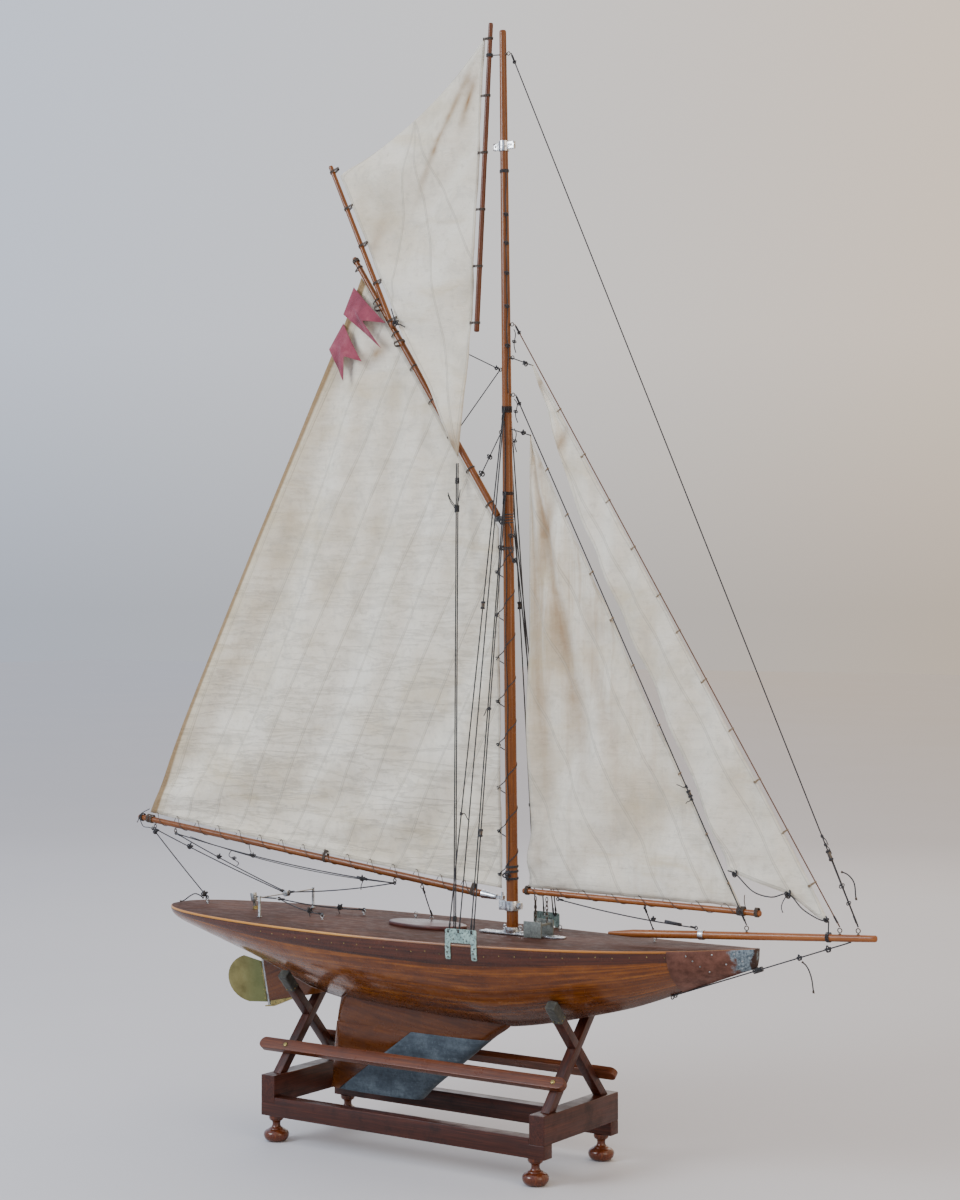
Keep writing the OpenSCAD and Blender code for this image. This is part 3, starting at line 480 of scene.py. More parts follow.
MAHOGANY = wood("mahogany", (0.0123, 0.00361, 0.00228), (0.0427, 0.00993, 0.00532),
                (0.095, 0.0235, 0.0106), rough=(0.28, 0.5), coat=0.12, grime=0.75)
MAHOGANY_LIGHT = wood("mahogany_light", (0.036, 0.00855, 0.0036), (0.104, 0.0265, 0.00864),
                      (0.198, 0.0599, 0.0187), rough=(0.24, 0.42), coat=0.18, grime=0.4)
FOOT_WOOD = wood("foot_wood", (0.028, 0.00608, 0.00256), (0.088, 0.0198, 0.0064),
                 (0.176, 0.0471, 0.0141), rough=(0.14, 0.3), coat=0.4, grime=0.4)
# Painted shade: the fin, deadwood and skeg timber is darkened for the shadow it lies in under the
# hull
SHADED_FIN_WOOD = wood("fin_wood_painted_shade", (0.0315, 0.00678, 0.00134), (0.084, 0.0219, 0.00336),
                (0.13, 0.0399, 0.00672), rough=(0.2, 0.36), coat=0.2, grime=0.45, figure=0.5)
SPAR_WOOD = wood("spar_wood", (0.0744, 0.0188, 0.00298), (0.155, 0.0448, 0.00595),
                 (0.248, 0.0854, 0.0139), rough=(0.2, 0.36), coat=0.2, grime=0.25)
YARD_WOOD = wood("yard_wood", (0.04, 0.00912, 0.0032), (0.096, 0.0243, 0.00576),
                 (0.176, 0.0517, 0.0115), rough=(0.26, 0.42), coat=0.15, grime=0.3)
SPRIT_WOOD = wood("sprit_wood", (0.125, 0.0326, 0.00634), (0.238, 0.0721, 0.0137),
                  (0.343, 0.125, 0.0306), rough=(0.22, 0.38), coat=0.2, grime=0.2)
NICKEL = metal("nickel", (0.42, 0.43, 0.45), (0.80, 0.80, 0.80), rough=(0.10, 0.34),
               spots=(0.20, 0.22, 0.22))
DULL_NICKEL = metal("dull_nickel", (0.24, 0.25, 0.25), (0.52, 0.53, 0.53), rough=(0.28, 0.5),
                    spots=(0.13, 0.13, 0.12))
IRON = metal("iron", (0.045, 0.04, 0.038), (0.16, 0.14, 0.12), rough=(0.35, 0.6),
             spots=(0.10, 0.055, 0.035))
BRASS = metal("brass", (0.19, 0.14, 0.05), (0.44, 0.34, 0.13), rough=(0.28, 0.5),
              spots=(0.09, 0.10, 0.05))
VERDIGRIS = metal("verdigris", (0.17, 0.25, 0.235), (0.38, 0.53, 0.49), rough=(0.5, 0.8),
                  metallic=0.3, spots=(0.05, 0.055, 0.06), scale=130)
LINE = line_material("line", (0.006, 0.006, 0.008), (0.055, 0.055, 0.062))
BROWN_LINE = line_material("brown_line", (0.05, 0.02, 0.012), (0.20, 0.095, 0.055))
TWINE = line_material("twine", (0.030, 0.020, 0.015), (0.13, 0.095, 0.07))
PALE_TWINE = line_material("pale_twine", (0.16, 0.10, 0.055), (0.40, 0.30, 0.19))
ZINC = metal("zinc", (0.13, 0.14, 0.13), (0.27, 0.285, 0.265), rough=(0.45, 0.7), metallic=0.6,
             spots=(0.11, 0.13, 0.115), scale=420)


def hull_material():
    """Golden varnished planks, a dark sheer strake and painted shade on the underside.

    'local' holds metres along the hull, the girth from keel (0) to deck edge (1), and how
    far below the deck edge the point lies, in widths of the dark strake."""
    s = Shader("hull_varnish", Coat_Weight=0.28, Coat_Roughness=0.1)
    parts = s.split(s.attribute("local"))
    along, girth, below = parts[0], parts[1], parts[2]
    flow = s.node("CombineXYZ", 0, {0: along * 6.5, 1: girth * 34, 2: 0.37})
    fibres = s.noise(s.scaled(flow, (2, 5, 1)), detail=8, rough=0.6, twist=1.0)
    figure = s.noise(s.scaled(flow, (0.45, 0.5, 1)), detail=4, rough=0.5, twist=2.2)
    ripple = s.noise(s.scaled(flow, (7, 0.7, 1)), detail=3, rough=0.5)
    tone = fibres * 0.4 + figure * 0.6
    tone = (ripple - 0.5) * 0.28 + tone
    gold = s.ramp(tone, (0.32, (0.042, 0.009, 0.002)), (0.46, (0.115, 0.028, 0.003)),
                  (0.57, (0.215, 0.064, 0.006)), (0.70, (0.34, 0.125, 0.016)))
    red = s.ramp(tone, (0.35, (0.026, 0.006, 0.003)), (0.65, (0.088, 0.022, 0.009)))
    # Planks: each strake of the girth has its own tone and a fine dark seam
    strake = girth * 11
    shade = s.node("TexWhiteNoise", "Value", {"W": s.math("FLOOR", strake)}, noise_dimensions="1D")
    gold = s.mix(shade * 0.3, gold, (0.12, 0.032, 0.005))
    edge = abs(s.math("FRACT", strake) - 0.5)
    seam = s.remap(edge, 0.482, 0.498)
    gold = s.mix(seam * 0.5, gold, (0.045, 0.014, 0.006))
    # Painted shade: the underside darkens towards the keel, where the hull shades itself
    low = girth + (figure - 0.5) * 0.35
    colour = s.mix(s.remap(low, 0.52, 0.20, 0, 0.92), gold, (0.050, 0.016, 0.009))
    # The sheer strake
    band = s.remap(below, 1.04, 0.98)
    colour = s.mix(band, colour, red)
    joint = s.remap(abs(below - 1.02), 0.05, 0.0)
    colour = s.mix(joint * 0.7, colour, (0.02, 0.008, 0.005))
    wear = s.noise(s.place, scale=55, detail=7, rough=0.7)
    colour = s.mix(s.remap(wear, 0.60, 0.78, 0, 0.5), colour, (0.035, 0.012, 0.007))
    rough = s.remap(wear, 0.35, 0.75, 0.16, 0.42)
    height = fibres * 0.4 - s.math("MAXIMUM", seam, joint)
    return s.finish(colour, rough, height, 0.25, 0.0004)


def deck_material():
    """Red-brown stained deck with narrow planks, worn and dusty."""
    s = Shader("deck_stain", Specular_IOR_Level=0.12)
    parts = s.split(s.place)
    grain = s.scaled(s.place, (9, 260, 9))
    fibres = s.noise(grain, detail=6, rough=0.6, twist=0.8)
    cloudy = s.noise(s.scaled(s.place, (9, 22, 9)), detail=5, rough=0.6)
    tone = fibres * 0.5 + cloudy * 0.5
    colour = s.ramp(tone, (0.33, (0.026, 0.009, 0.006)), (0.5, (0.066, 0.027, 0.018)),
                    (0.68, (0.125, 0.060, 0.042)))
    plank = (parts[1] + 0.009) / 0.018
    seam = s.remap(abs(s.math("FRACT", plank) - 0.5), 0.474, 0.495)
    colour = s.mix(seam * 0.65, colour, (0.022, 0.010, 0.008))
    scuff = s.noise(s.scaled(s.place, (60, 140, 60)), detail=7, rough=0.75)
    colour = s.mix(s.remap(scuff, 0.60, 0.72, 0, 0.35), colour, (0.30, 0.20, 0.16))
    return s.finish(colour, s.remap(scuff, 0.3, 0.7, 0.5, 0.75), fibres - seam * 1.2, 0.3, 0.0004)


def edge_material():
    """The deck's varnished edge: yellow aft, brown and rubbed from amidships forward."""
    s = Shader("deck_edge", Coat_Weight=0.4, Coat_Roughness=0.15)
    parts = s.split(s.place)
    wear = s.noise(s.scaled(s.place, (60, 400, 400)), detail=6, rough=0.7)
    shade = (wear - 0.5) * 0.16 + parts[0]
    place = s.remap(shade, -0.50, 0.46)
    colour = s.ramp(place, (0.05, (0.46, 0.19, 0.022)), (0.33, (0.52, 0.25, 0.05)),
                    (0.45, (0.27, 0.13, 0.075)), (0.66, (0.21, 0.095, 0.045)),
                    (0.8, (0.42, 0.16, 0.022)), (0.95, (0.27, 0.10, 0.016)))
    return s.finish(colour, s.remap(wear, 0.3, 0.7, 0.25, 0.5), wear, 0.2, 0.0003)


def hatch_material():
    s = Shader("hatch_stain", Coat_Weight=0.3, Coat_Roughness=0.2)
    fibres = s.noise(s.scaled(s.place, (12, 420, 200)), detail=6, rough=0.6, twist=0.7)
    cloudy = s.noise(s.place, scale=26, detail=4)
    tone = fibres * 0.6 + cloudy * 0.4
    colour = s.ramp(tone, (0.33, (0.028, 0.006, 0.004)), (0.66, (0.095, 0.024, 0.015)))
    return s.finish(colour, s.remap(cloudy, 0.3, 0.7, 0.26, 0.5), fibres, 0.2, 0.0003)


def lead_material():
    s = Shader("lead", Metallic=0.25)
    big = s.noise(s.place, scale=34, detail=6, rough=0.6)
    small = s.noise(s.place, scale=260, detail=6, rough=0.75)
    streak = s.noise(s.scaled(s.place, (40, 40, 260)), detail=5, rough=0.7)
    tone = big * 0.45 + small * 0.3
    tone = streak * 0.25 + tone
    colour = s.ramp(tone, (0.36, (0.026, 0.034, 0.044)), (0.5, (0.060, 0.078, 0.096)),
                    (0.64, (0.125, 0.155, 0.178)))
    pale = s.remap(small, 0.62, 0.74, 0, 0.6)
    colour = s.mix(pale, colour, (0.27, 0.31, 0.32))
    return s.finish(colour, s.remap(big, 0.3, 0.7, 0.42, 0.7), small, 0.35, 0.0006)


def blade_material():
    """Dulled brass sheet with a green bloom beside the stock."""
    s = Shader("blade_brass", Metallic=0.45)
    patch = s.noise(s.place, scale=30, detail=7, rough=0.62)
    fine = s.noise(s.place, scale=420, detail=5, rough=0.7)
    colour = s.ramp(patch, (0.34, (0.125, 0.105, 0.035)), (0.52, (0.20, 0.17, 0.062)),
                    (0.70, (0.27, 0.235, 0.10)))
    x = s.split(s.place)[0]
    near = s.remap(patch * 0.03 + x, at(-437, 0, 0).x, at(-402, 0, 0).x)
    colour = s.mix(near * 0.7, colour, (0.11, 0.13, 0.050))
    dark = s.remap(patch, 0.60, 0.68, 0, 0.55)
    colour = s.mix(dark, colour, (0.10, 0.095, 0.05))
    return s.finish(colour, s.remap(fine, 0.3, 0.7, 0.38, 0.6), fine, 0.15, 0.0003)


def copper_material():
    """Brown tarnished copper whose nose has turned blue-grey."""
    s = Shader("copper", Metallic=0.55)
    patch = s.noise(s.place, scale=60, detail=6, rough=0.65)
    fine = s.noise(s.place, scale=330, detail=5, rough=0.7)
    colour = s.ramp(patch, (0.35, (0.085, 0.036, 0.026)), (0.65, (0.20, 0.090, 0.066)))
    x = s.split(s.place)[0]
    worn = (patch - 0.5) * 0.05 + x
    nose = s.remap(worn, at(318, 0, 0).x, at(326, 0, 0).x)
    bloom = s.ramp(fine, (0.35, (0.05, 0.07, 0.09)), (0.6, (0.24, 0.30, 0.34)),
                   (0.72, (0.45, 0.50, 0.52)))
    colour = s.mix(nose, colour, bloom)
    tip = s.remap(worn, at(339, 0, 0).x, at(343, 0, 0).x)
    colour = s.mix(tip, colour, (0.05, 0.028, 0.022))
    return s.finish(colour, s.remap(fine, 0.3, 0.7, 0.34, 0.6), fine, 0.2, 0.0003)


def leather_material():
    s = Shader("pad_leather", Sheen_Weight=0.1)
    hide = s.node("TexVoronoi", "Distance", {"Vector": s.place, "Scale": 900})
    worn = s.noise(s.place, scale=110, detail=6, rough=0.7)
    colour = s.ramp(worn, (0.32, (0.012, 0.012, 0.011)), (0.55, (0.050, 0.050, 0.040)),
                    (0.74, (0.125, 0.130, 0.105)))
    return s.finish(colour, s.remap(worn, 0.3, 0.7, 0.45, 0.75), hide + worn * 2.0, 0.5, 0.0006)


def sailcloth(name, seam_turn, seam_gap, seam_start, streaks=(), blots=(), crease_shade=0.5,
              warm=0.0, tape=None, upright=0.0):
    """Aged cotton. Seams lie seam_gap millimetres apart, turned seam_turn degrees from
    upright in the XZ plane. 'local' holds metres from the leech, the foot and any edge."""
    s = Shader(name, Roughness=0.85, Sheen_Weight=0.12)
    parts = s.split(s.attribute("local"))
    xyz = s.split(s.place)
    base = s.noise(s.place, scale=7, detail=6, rough=0.6)
    colour = s.ramp(base, (0.30, (0.56, 0.48, 0.34)), (0.5, (0.73, 0.67, 0.55)),
                    (0.7, (0.82, 0.78, 0.68)))
    fine = s.noise(s.place, scale=95, detail=8, rough=0.72)
    colour = s.mix(s.remap(fine, 0.50, 0.72, 0, 0.42), colour, (0.40, 0.36, 0.29))
    # Painted shade: soft darker patches where crumpled cloth falls into shade
    crumple_shade = s.noise(s.place, scale=26, detail=7, rough=0.66, twist=0.8)
    colour = s.mix(s.remap(crumple_shade, 0.47, 0.66, 0, 0.32), colour, (0.43, 0.40, 0.33))
    # Painted shade in old fold creases, drawn across the cloth
    folds = s.noise(s.scaled(s.place, (7, 7, 62)), detail=7, rough=0.68, twist=0.6)
    crease_shade_line = s.remap(abs(folds - 0.52), 0.035, 0.0)
    low = s.remap(xyz[2], 1.05, 0.35, 0.35, 1.0)
    crease_shade_line = crease_shade_line * (low * crease_shade)
    colour = s.mix(crease_shade_line * 0.32, colour, (0.38, 0.35, 0.28))
    # Yellowing and water stains, then thin upright brown streaks, strongest high up
    damp = s.noise(s.scaled(s.place, (5, 5, 14)), detail=5, rough=0.6, twist=1.2)
    colour = s.mix(s.remap(damp, 0.52, 0.72, 0, 0.36 + warm), colour, (0.58, 0.47, 0.28))
    if upright:
        upright_streaks = s.noise(s.scaled(s.place, (75, 75, 2.6)), detail=6, rough=0.66, twist=0.4)
        high = s.remap(xyz[2], 0.42, 0.80, 0.22, 1.0)
        streak_mask = s.remap(upright_streaks, 0.44, 0.7) * (high * upright)
        colour = s.mix(streak_mask, colour, (0.40, 0.26, 0.13))
    for x, z, rx, rz, turn, strength in blots:
        spot = s.blob(x, z, rx, rz, turn) * s.remap(s.noise(s.place, scale=40, detail=5),
                                                    0.3, 0.6, 0.5, 1.2)
        colour = s.mix(s.math("MULTIPLY", spot, strength, clamp=True), colour,
                       (0.27, 0.155, 0.062))
    # Brown stain and painted shade in the hollows of the old folds
    brown = s.attribute("fold", "Fac") * s.remap(crumple_shade, 0.35, 0.6, 0.75, 1.05)
    colour = s.mix(s.math("MULTIPLY", brown, 0.85, clamp=True), colour, (0.33, 0.215, 0.115))
    # Seams: two overlapped edges and a run of stitches along each
    turn = math.radians(seam_turn)
    across = xyz[0] * math.cos(turn) + xyz[2] * math.sin(turn)
    lap = rim = 0.0
    if seam_gap:
        count = (across - seam_start / 1000) / (seam_gap / 1000)
        offset = (s.math("FRACT", count) - 0.5) * (seam_gap / 1000)
        lap = s.remap(abs(offset), 0.0016, 0.0011)
        rim = s.remap(abs(abs(offset) - 0.0013), 0.0006, 0.0001)
    for (x0, z0), (x1, z1) in streaks:
        run = Vector((x1 - x0, z1 - z0)).normalized()
        a = at(x0, 0, z0)
        flat = (xyz[0] - a.x) * -run.y + (xyz[2] - a.z) * run.x
        forward = (xyz[0] - a.x) * run.x + (xyz[2] - a.z) * run.y
        on = s.remap(forward, 0.0, 0.002)
        line = s.remap(abs(flat), 0.0014, 0.0009) * on
        thread = s.remap(abs(abs(flat) - 0.0011), 0.0006, 0.0001) * on
        lap, rim = s.math("MAXIMUM", lap, line), s.math("MAXIMUM", rim, thread)
    hem = s.remap(parts[2], 0.0042, 0.0036)
    hem_stitch = s.remap(abs(parts[2] - 0.0036), 0.0006, 0.0001)
    lap, rim = s.math("MAXIMUM", lap, hem), s.math("MAXIMUM", rim, hem_stitch)
    colour = s.mix(lap * 0.22, colour, (0.47, 0.43, 0.34))
    colour = s.mix(rim * 0.42, colour, (0.25, 0.23, 0.19))
    if tape:
        width, tint = tape
        edge = s.remap(parts[0], width * 1.1, width * 0.8)
        soft = s.remap(parts[0], 0.03, 0.004, 0, 0.45)
        colour = s.mix(soft, colour, (0.60, 0.48, 0.27))
        colour = s.mix(edge * 0.9, colour, tint)
    # Plain weave
    pitch = math.tau / 0.0007
    warp = s.math("SINE", xyz[0] * pitch)
    weft = s.math("SINE", xyz[2] * pitch)
    weave = warp * weft
    slub = s.noise(s.scaled(s.place, (160, 160, 1500)), detail=3)
    colour = s.mix(s.remap(slub, 0.45, 0.75, 0, 0.16), colour, (0.50, 0.46, 0.38))
    height = weave * 0.1 - crease_shade_line + lap * 0.9 + folds * 3.2 + crumple_shade * 4.0 + slub * 0.12
    return s.finish(colour, None, height, 0.55, 0.0009)


def flag_material():
    s = Shader("flag_cloth", Roughness=0.8, Sheen_Weight=0.2)
    base = s.noise(s.place, scale=38, detail=6, rough=0.65)
    colour = s.ramp(base, (0.30, (0.15, 0.018, 0.036)), (0.52, (0.255, 0.040, 0.070)),
                    (0.72, (0.38, 0.105, 0.13)))
    xyz = s.split(s.place)
    pitch = math.tau / 0.0006
    weave = s.math("SINE", xyz[0] * pitch) * s.math("SINE", xyz[2] * pitch)
    frayed = s.noise(s.place, scale=300, detail=5)
    colour = s.mix(s.remap(frayed, 0.55, 0.75, 0, 0.35), colour, (0.09, 0.015, 0.028))
    return s.finish(colour, None, weave + frayed * 3, 0.4, 0.0004)


# ------------------------------------------------------------------ hull form, as in the CAD
STERN, BOW, BEAM_X, BEAM = 558.0, 344.0, -175.0, 107.0
SHEER, BOW_RISE, DECK_T, CROWN, PLANK = 285.2, 13.8, 3.0, 2.0, 6.0
KEEL = ((-558, 284), (-549, 268), (-490, 248), (-409, 220), (-323, 191), (-250, 179),
        (-130, 172), (-20, 170), (40, 178), (120, 197), (190, 217), (290, 256), (344, 277))
FULLNESS = ((-558, .9), (-450, 1.12), (-321, 1.22), (-150, .97), (0, .92), (86, .95),
            (200, .95), (344, .9))
STATIONS = 130
GIRTH_STEPS = 30
GRAIN_START = 600
BAND_LINE = ((-558, 5), (-460, 9), (-300, 20), (-120, 25), (0, 25), (150, 17), (344, 9))


def clamp(value, low, high):
    return min(max(value, low), high)


def curve(p, x):
    """A Hermite curve through the points (x, value)."""
    i = 0
    while i < len(p) - 2 and x >= p[i + 1][0]:
        i += 1

    def slope(k):
        a, b = max(k - 1, 0), min(k + 1, len(p) - 1)
        return (p[b][1] - p[a][1]) / (p[b][0] - p[a][0])

    h = p[i + 1][0] - p[i][0]
    t = (x - p[i][0]) / h
    return ((2 * t**3 - 3 * t**2 + 1) * p[i][1] + (t**3 - 2 * t**2 + t) * h * slope(i)
            + (3 * t**2 - 2 * t**3) * p[i + 1][1] + (t**3 - t**2) * h * slope(i + 1))


def half_beam(x):
    if x > BEAM_X:
        t = clamp((x - BEAM_X) / (BOW - BEAM_X), 0, 1)
        return max(BEAM * (1 - t**1.85) ** 0.82, 5)
    t = clamp((BEAM_X - x) / (STERN + BEAM_X), 0, 0.994)
    return BEAM * (1 - t**2) ** 0.42


def sheer(x):
    if x > -100:
        return SHEER + BOW_RISE * ((x + 100) / (BOW + 100)) ** 2.6
    return SHEER + 3 * ((-100 - x) / (STERN - 100)) ** 2


def deck_z(x, y=0.0):
    b = half_beam(x)
    return sheer(x) + CROWN * (1 - clamp(y / b, -1, 1) ** 2) * b / 110


def keel_at(x):
    return curve(KEEL, clamp(x, -STERN, BOW))


def skin(x, angle, wall, top):
    b, z0 = max(half_beam(x) - wall, 1.5), keel_at(x) + wall
    s = math.sin(angle)
    y = math.copysign(b * abs(s) ** (2 * curve(FULLNESS, clamp(x, -STERN, BOW))), s)
    return x, y, z0 + (top - z0) * (1 - math.cos(angle))


def skin_y(x, z):
    z0 = keel_at(x)
    c = clamp(1 - (z - z0) / (sheer(x) - DECK_T - z0), 0, 1)
    return half_beam(x) * (1 - c * c) ** curve(FULLNESS, x)


def station(i, count=STATIONS, aft=1.5, fore=0.0):
    t = i / (count - 1)
    s = 0.5 - 0.5 * math.cos(math.pi * t)
    return -STERN + aft + (STERN + BOW - aft - fore) * (0.55 * t + 0.45 * s)


def hull_planking():
    """Outer and inner skins of the planking, joined round the top edge."""
    angles = [math.pi / 2 * j / GIRTH_STEPS for j in range(-GIRTH_STEPS, GIRTH_STEPS + 1)]
    m = len(angles)
    verts, local = [], []
    for wall, aft, fore in ((0, 1.5, 0), (PLANK, 38, 44)):
        for i in range(STATIONS):
            x = station(i, aft=aft, fore=fore)
            top = sheer(x) - DECK_T
            for a in angles:
                px, py, pz = skin(x, a, wall, top)
                verts.append(at(px, py, pz))
                girth = abs(a) / (math.pi / 2) if wall == 0 else 0.45
                below = (sheer(x) - pz) / curve(BAND_LINE, x) if wall == 0 else 9
                local.append(((px + GRAIN_START) / 1000, girth, below))
    n = STATIONS * m
    faces = []
    for i in range(STATIONS - 1):
        for j in range(m - 1):
            a, c = i * m + j, (i + 1) * m + j
            faces += [(a, a + 1, c + 1, c), (n + a, n + c, n + c + 1, n + a + 1)]
        a, c, p, q = i * m, (i + 1) * m, i * m + m - 1, (i + 1) * m + m - 1
        faces += [(a, c, n + c, n + a), (p, n + p, n + q, q)]
    last = (STATIONS - 1) * m
    faces += [tuple(range(m - 1, -1, -1)), tuple(n + j for j in range(m)),
              (0, n, n + m - 1, m - 1), tuple(last + j for j in range(m)),
              tuple(n + last + j for j in range(m - 1, -1, -1)),
              (last, last + m - 1, n + last + m - 1, n + last)]
    return verts, faces, local


piece("hull_planking", hull_planking(), hull_material(), "hull", ("hull_shell",),
      sharp=50)

# ------------------------------------------------------------------ deck and its edge
HATCH_X, HATCH_L, HATCH_W, HATCH_LIP = -132.0, 118.0, 56.0, 8.0
STOCK_FOOT, STOCK_RAKE = Vector((-396, 0, 160)), math.radians(11.3)


def stock_at(z):
    return STOCK_FOOT.x - (z - STOCK_FOOT.z) * math.tan(STOCK_RAKE), 0, z


def oval_ring(length, width, count=72):
    return [(HATCH_X + length / 2 * c, width / 2 * s) for c, s in circle(count)]


def drum(points, z0, z1):
    """An upright closed solid over an outline, in the frame's metres."""
    n = len(points)
    verts = [at(x, y, z) for z in (z0, z1) for x, y in points]
    return verts, caps(2, n) + ring_faces(2, n), []


def deck_boards():
    across = [math.sin(math.pi / 2 * k / 9) for k in range(-9, 10)]
    m = len(across)
    verts = []
    for drop in (0, DECK_T - 0.2):
        for i in range(STATIONS):
            x = station(i)
            b = half_beam(x) - 0.9
            for s in across:
                top = deck_z(x, s * b)
                verts.append(at(x, s * b, top if not drop else sheer(x) - drop))
    n = STATIONS * m
    faces = []
    for i in range(STATIONS - 1):
        for j in range(m - 1):
            a, c = i * m + j, (i + 1) * m + j
            faces += [(a, c, c + 1, a + 1), (n + a, n + a + 1, n + c + 1, n + c)]
        a, c, p, q = i * m, (i + 1) * m, i * m + m - 1, (i + 1) * m + m - 1
        faces += [(a, n + a, n + c, c), (p, q, n + q, n + p)]
    last = (STATIONS - 1) * m
    for j in range(m - 1):
        faces += [(j, j + 1, n + j + 1, n + j),
                  (last + j, n + last + j, n + last + j + 1, last + j + 1)]
    return verts, faces, []


def cut_with(o, *cutters):
    for c in cutters:
        modifier = o.modifiers.new("cut", "BOOLEAN")
        modifier.operation, modifier.object, modifier.solver = "DIFFERENCE", c, "EXACT"
    bpy.context.view_layer.update()
    apply_modifiers(o)
    for c in cutters:
        bpy.data.objects.remove(c)


DECK = deck_material()
hatch_cutter = piece("hatch_cutter", drum(
    oval_ring(HATCH_L - 2 * HATCH_LIP, HATCH_W - 2 * HATCH_LIP), 270, 300), DECK)
sx, _, _ = stock_at(286)
tube_cutter = piece("tube_cutter", drum([(sx + 3.7 * c, 3.7 * s) for c, s in circle(32)],
                                        270, 300), DECK)
deck = piece("deck_boards", deck_boards(), DECK)
cut_with(deck, hatch_cutter, tube_cutter)
deck.data.set_sharp_from_angle(angle=math.radians(40))
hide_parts("deck_panel")
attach(deck, "hull")


def edge_moulding(side):
    """The half-round edge of the deck, from the counter to the stem."""
    verts, local = [], []
    sides = 8
    for i in range(STATIONS):
        x = station(i)
        b, z = half_beam(x), sheer(x) - DECK_T / 2 + 0.05
        for k in range(sides):
            a = math.tau * (k + 0.5) / sides
            y = b - 0.75 + 1.15 * math.cos(a)
            verts.append(at(x, side * max(y, 0.2), z + 1.62 * math.sin(a)))
            local.append((0, 0, (x + GRAIN_START) / 1000))
    faces = [f if side < 0 else tuple(reversed(f)) for f in ring_faces(STATIONS, sides)]
    faces += [tuple(range(sides)), tuple((STATIONS - 1) * sides + k for k in range(sides))]
    return verts, faces, local


piece("deck_edge", merged([edge_moulding(-1), edge_moulding(1)]), edge_material(), "hull")
transom = sweep(smooth_path([at(-556.2, y, sheer(-556) - 1.5) for y in (-11, -5, 0, 5, 11)], 3),
                0.0014, 8)
piece("counter_edge", transom, edge_material(), "hull")


def copper_pins():
    """Small pin heads along the sheer strake, both sides."""
    parts = []
    for side in (-1, 1):
        for k in range(31):
            x = -330 + 20.5 * k
            if -40 < x < 14:
                continue
            drop = 11.5 + 1.2 * math.sin(k * 2.3)
            z = sheer(x) - drop * curve(BAND_LINE, x) / 25 - 1
            y = skin_y(x, z)
            out = Vector((0, side, 0.15)).normalized()
            base = at(x, side * (y - 0.25), z)
            parts.append(sweep([base, base + out * 0.0005, base + out * 0.00062],
                               [0.0008, 0.0007, 0.0002], 8))
    return merged(parts)


piece("sheer_pins", copper_pins(), BRASS, "hull")


def hatch_cover():
    """The oval cover with a rounded rim and two locating blocks."""
    seat = deck_z(HATCH_X) + 0.35
    profile = ((0.0, 0.0), (-0.3, 0.8), (-0.3, 2.8), (0.2, 4.2), (1.5, 4.9), (4.5, 5.0))
    n = 72
    verts, local = [], []
    for inset, h in profile:
        for x, y in oval_ring(HATCH_L - 0.6 - 2 * inset, HATCH_W - 0.6 - 2 * inset, n):
            verts.append(at(x, y, seat + h))
    parts = [(verts, ring_faces(len(profile), n) + caps(len(profile), n), [])]
    for side in (-1, 1):
        x = HATCH_X + side * 36
        parts.append(drum([(x - 4, -10), (x + 4, -10), (x + 4, 10), (x - 4, 10)],
                          seat - 3.9, seat + 0.1))
    return merged(parts)


piece("hatch_lid", hatch_cover(), hatch_material(), "hatch", ("hatch_cover",),
      sharp=40)

# ------------------------------------------------------------------ keel, rudder, stem
for node in ("keel_fin", "keel_deadwood"):
    refine(node, SHADED_FIN_WOOD, bevel=0.8, corner=45, grain=(1, 0, -0.1))
refine("lead_ballast", lead_material(), bevel=1.2, segments=3, corner=45)
refine("skeg", SHADED_FIN_WOOD, bevel=1.2, segments=3, grain=(1, 0, 0.4))
refine("skeg_heel_strap", BRASS, bevel=0.3)
refine("rudder_tube", BRASS, bevel=0)
refine("rudder_stock", DULL_NICKEL, bevel=0.4)
refine("tiller", DULL_NICKEL, bevel=0)
refine("rudder_blade", blade_material(), bevel=0.3)
refine("stem_cap", copper_material(), bevel=0.25, corner=50)


def pin_row(points, out, radius=0.9, height=0.5):
    """Domed heads at points, facing out."""
    out = Vector(out).normalized()
    parts = []
    for p in points:
        base = Vector(p)
        parts.append(sweep([base - out * 0.0003, base + out * height * 0.0006,
                            base + out * height * 0.0009, base + out * height * 0.001],
                           [radius / 1000, radius / 1000, radius * 0.0006, radius * 0.0002], 10))
    return parts


def blade_nails():
    """Nails down the blade's straight edge, both faces, and a folded seam of brass."""
    parts = []
    for side in (-1, 1):
        for k in range(9):
            x, _, z = stock_at(168 + 6 * k)
            parts += pin_row([at(x - 6.2, side * 0.85, z)], (0, side, 0), 0.75, 0.5)
        a, b = stock_at(164.5), stock_at(217)
        parts.append(sweep([at(a[0] - 3.4, side * 0.9, a[2]), at(b[0] - 3.4, side * 0.9, b[2])],
                           0.0007, 8))
    return merged(parts)


piece("blade_nails", blade_nails(), BRASS, "rudder")


def cap_nails():
    parts = []
    for side in (-1, 1):
        for x, drop in ((269, 6), (276, 12), (283, 19), (291, 26), (298, 5), (322, 5), (338, 6),
                        (312, 17), (330, 14), (340, 14)):
            z = sheer(x) - drop
            y = skin_y(x, z) + 1.25
            parts += pin_row([at(x, side * y, z)], (0.12, side, -0.1), 1.1, 0.7)
    return merged(parts)


piece("cap_nails", cap_nails(), DULL_NICKEL, "hull")

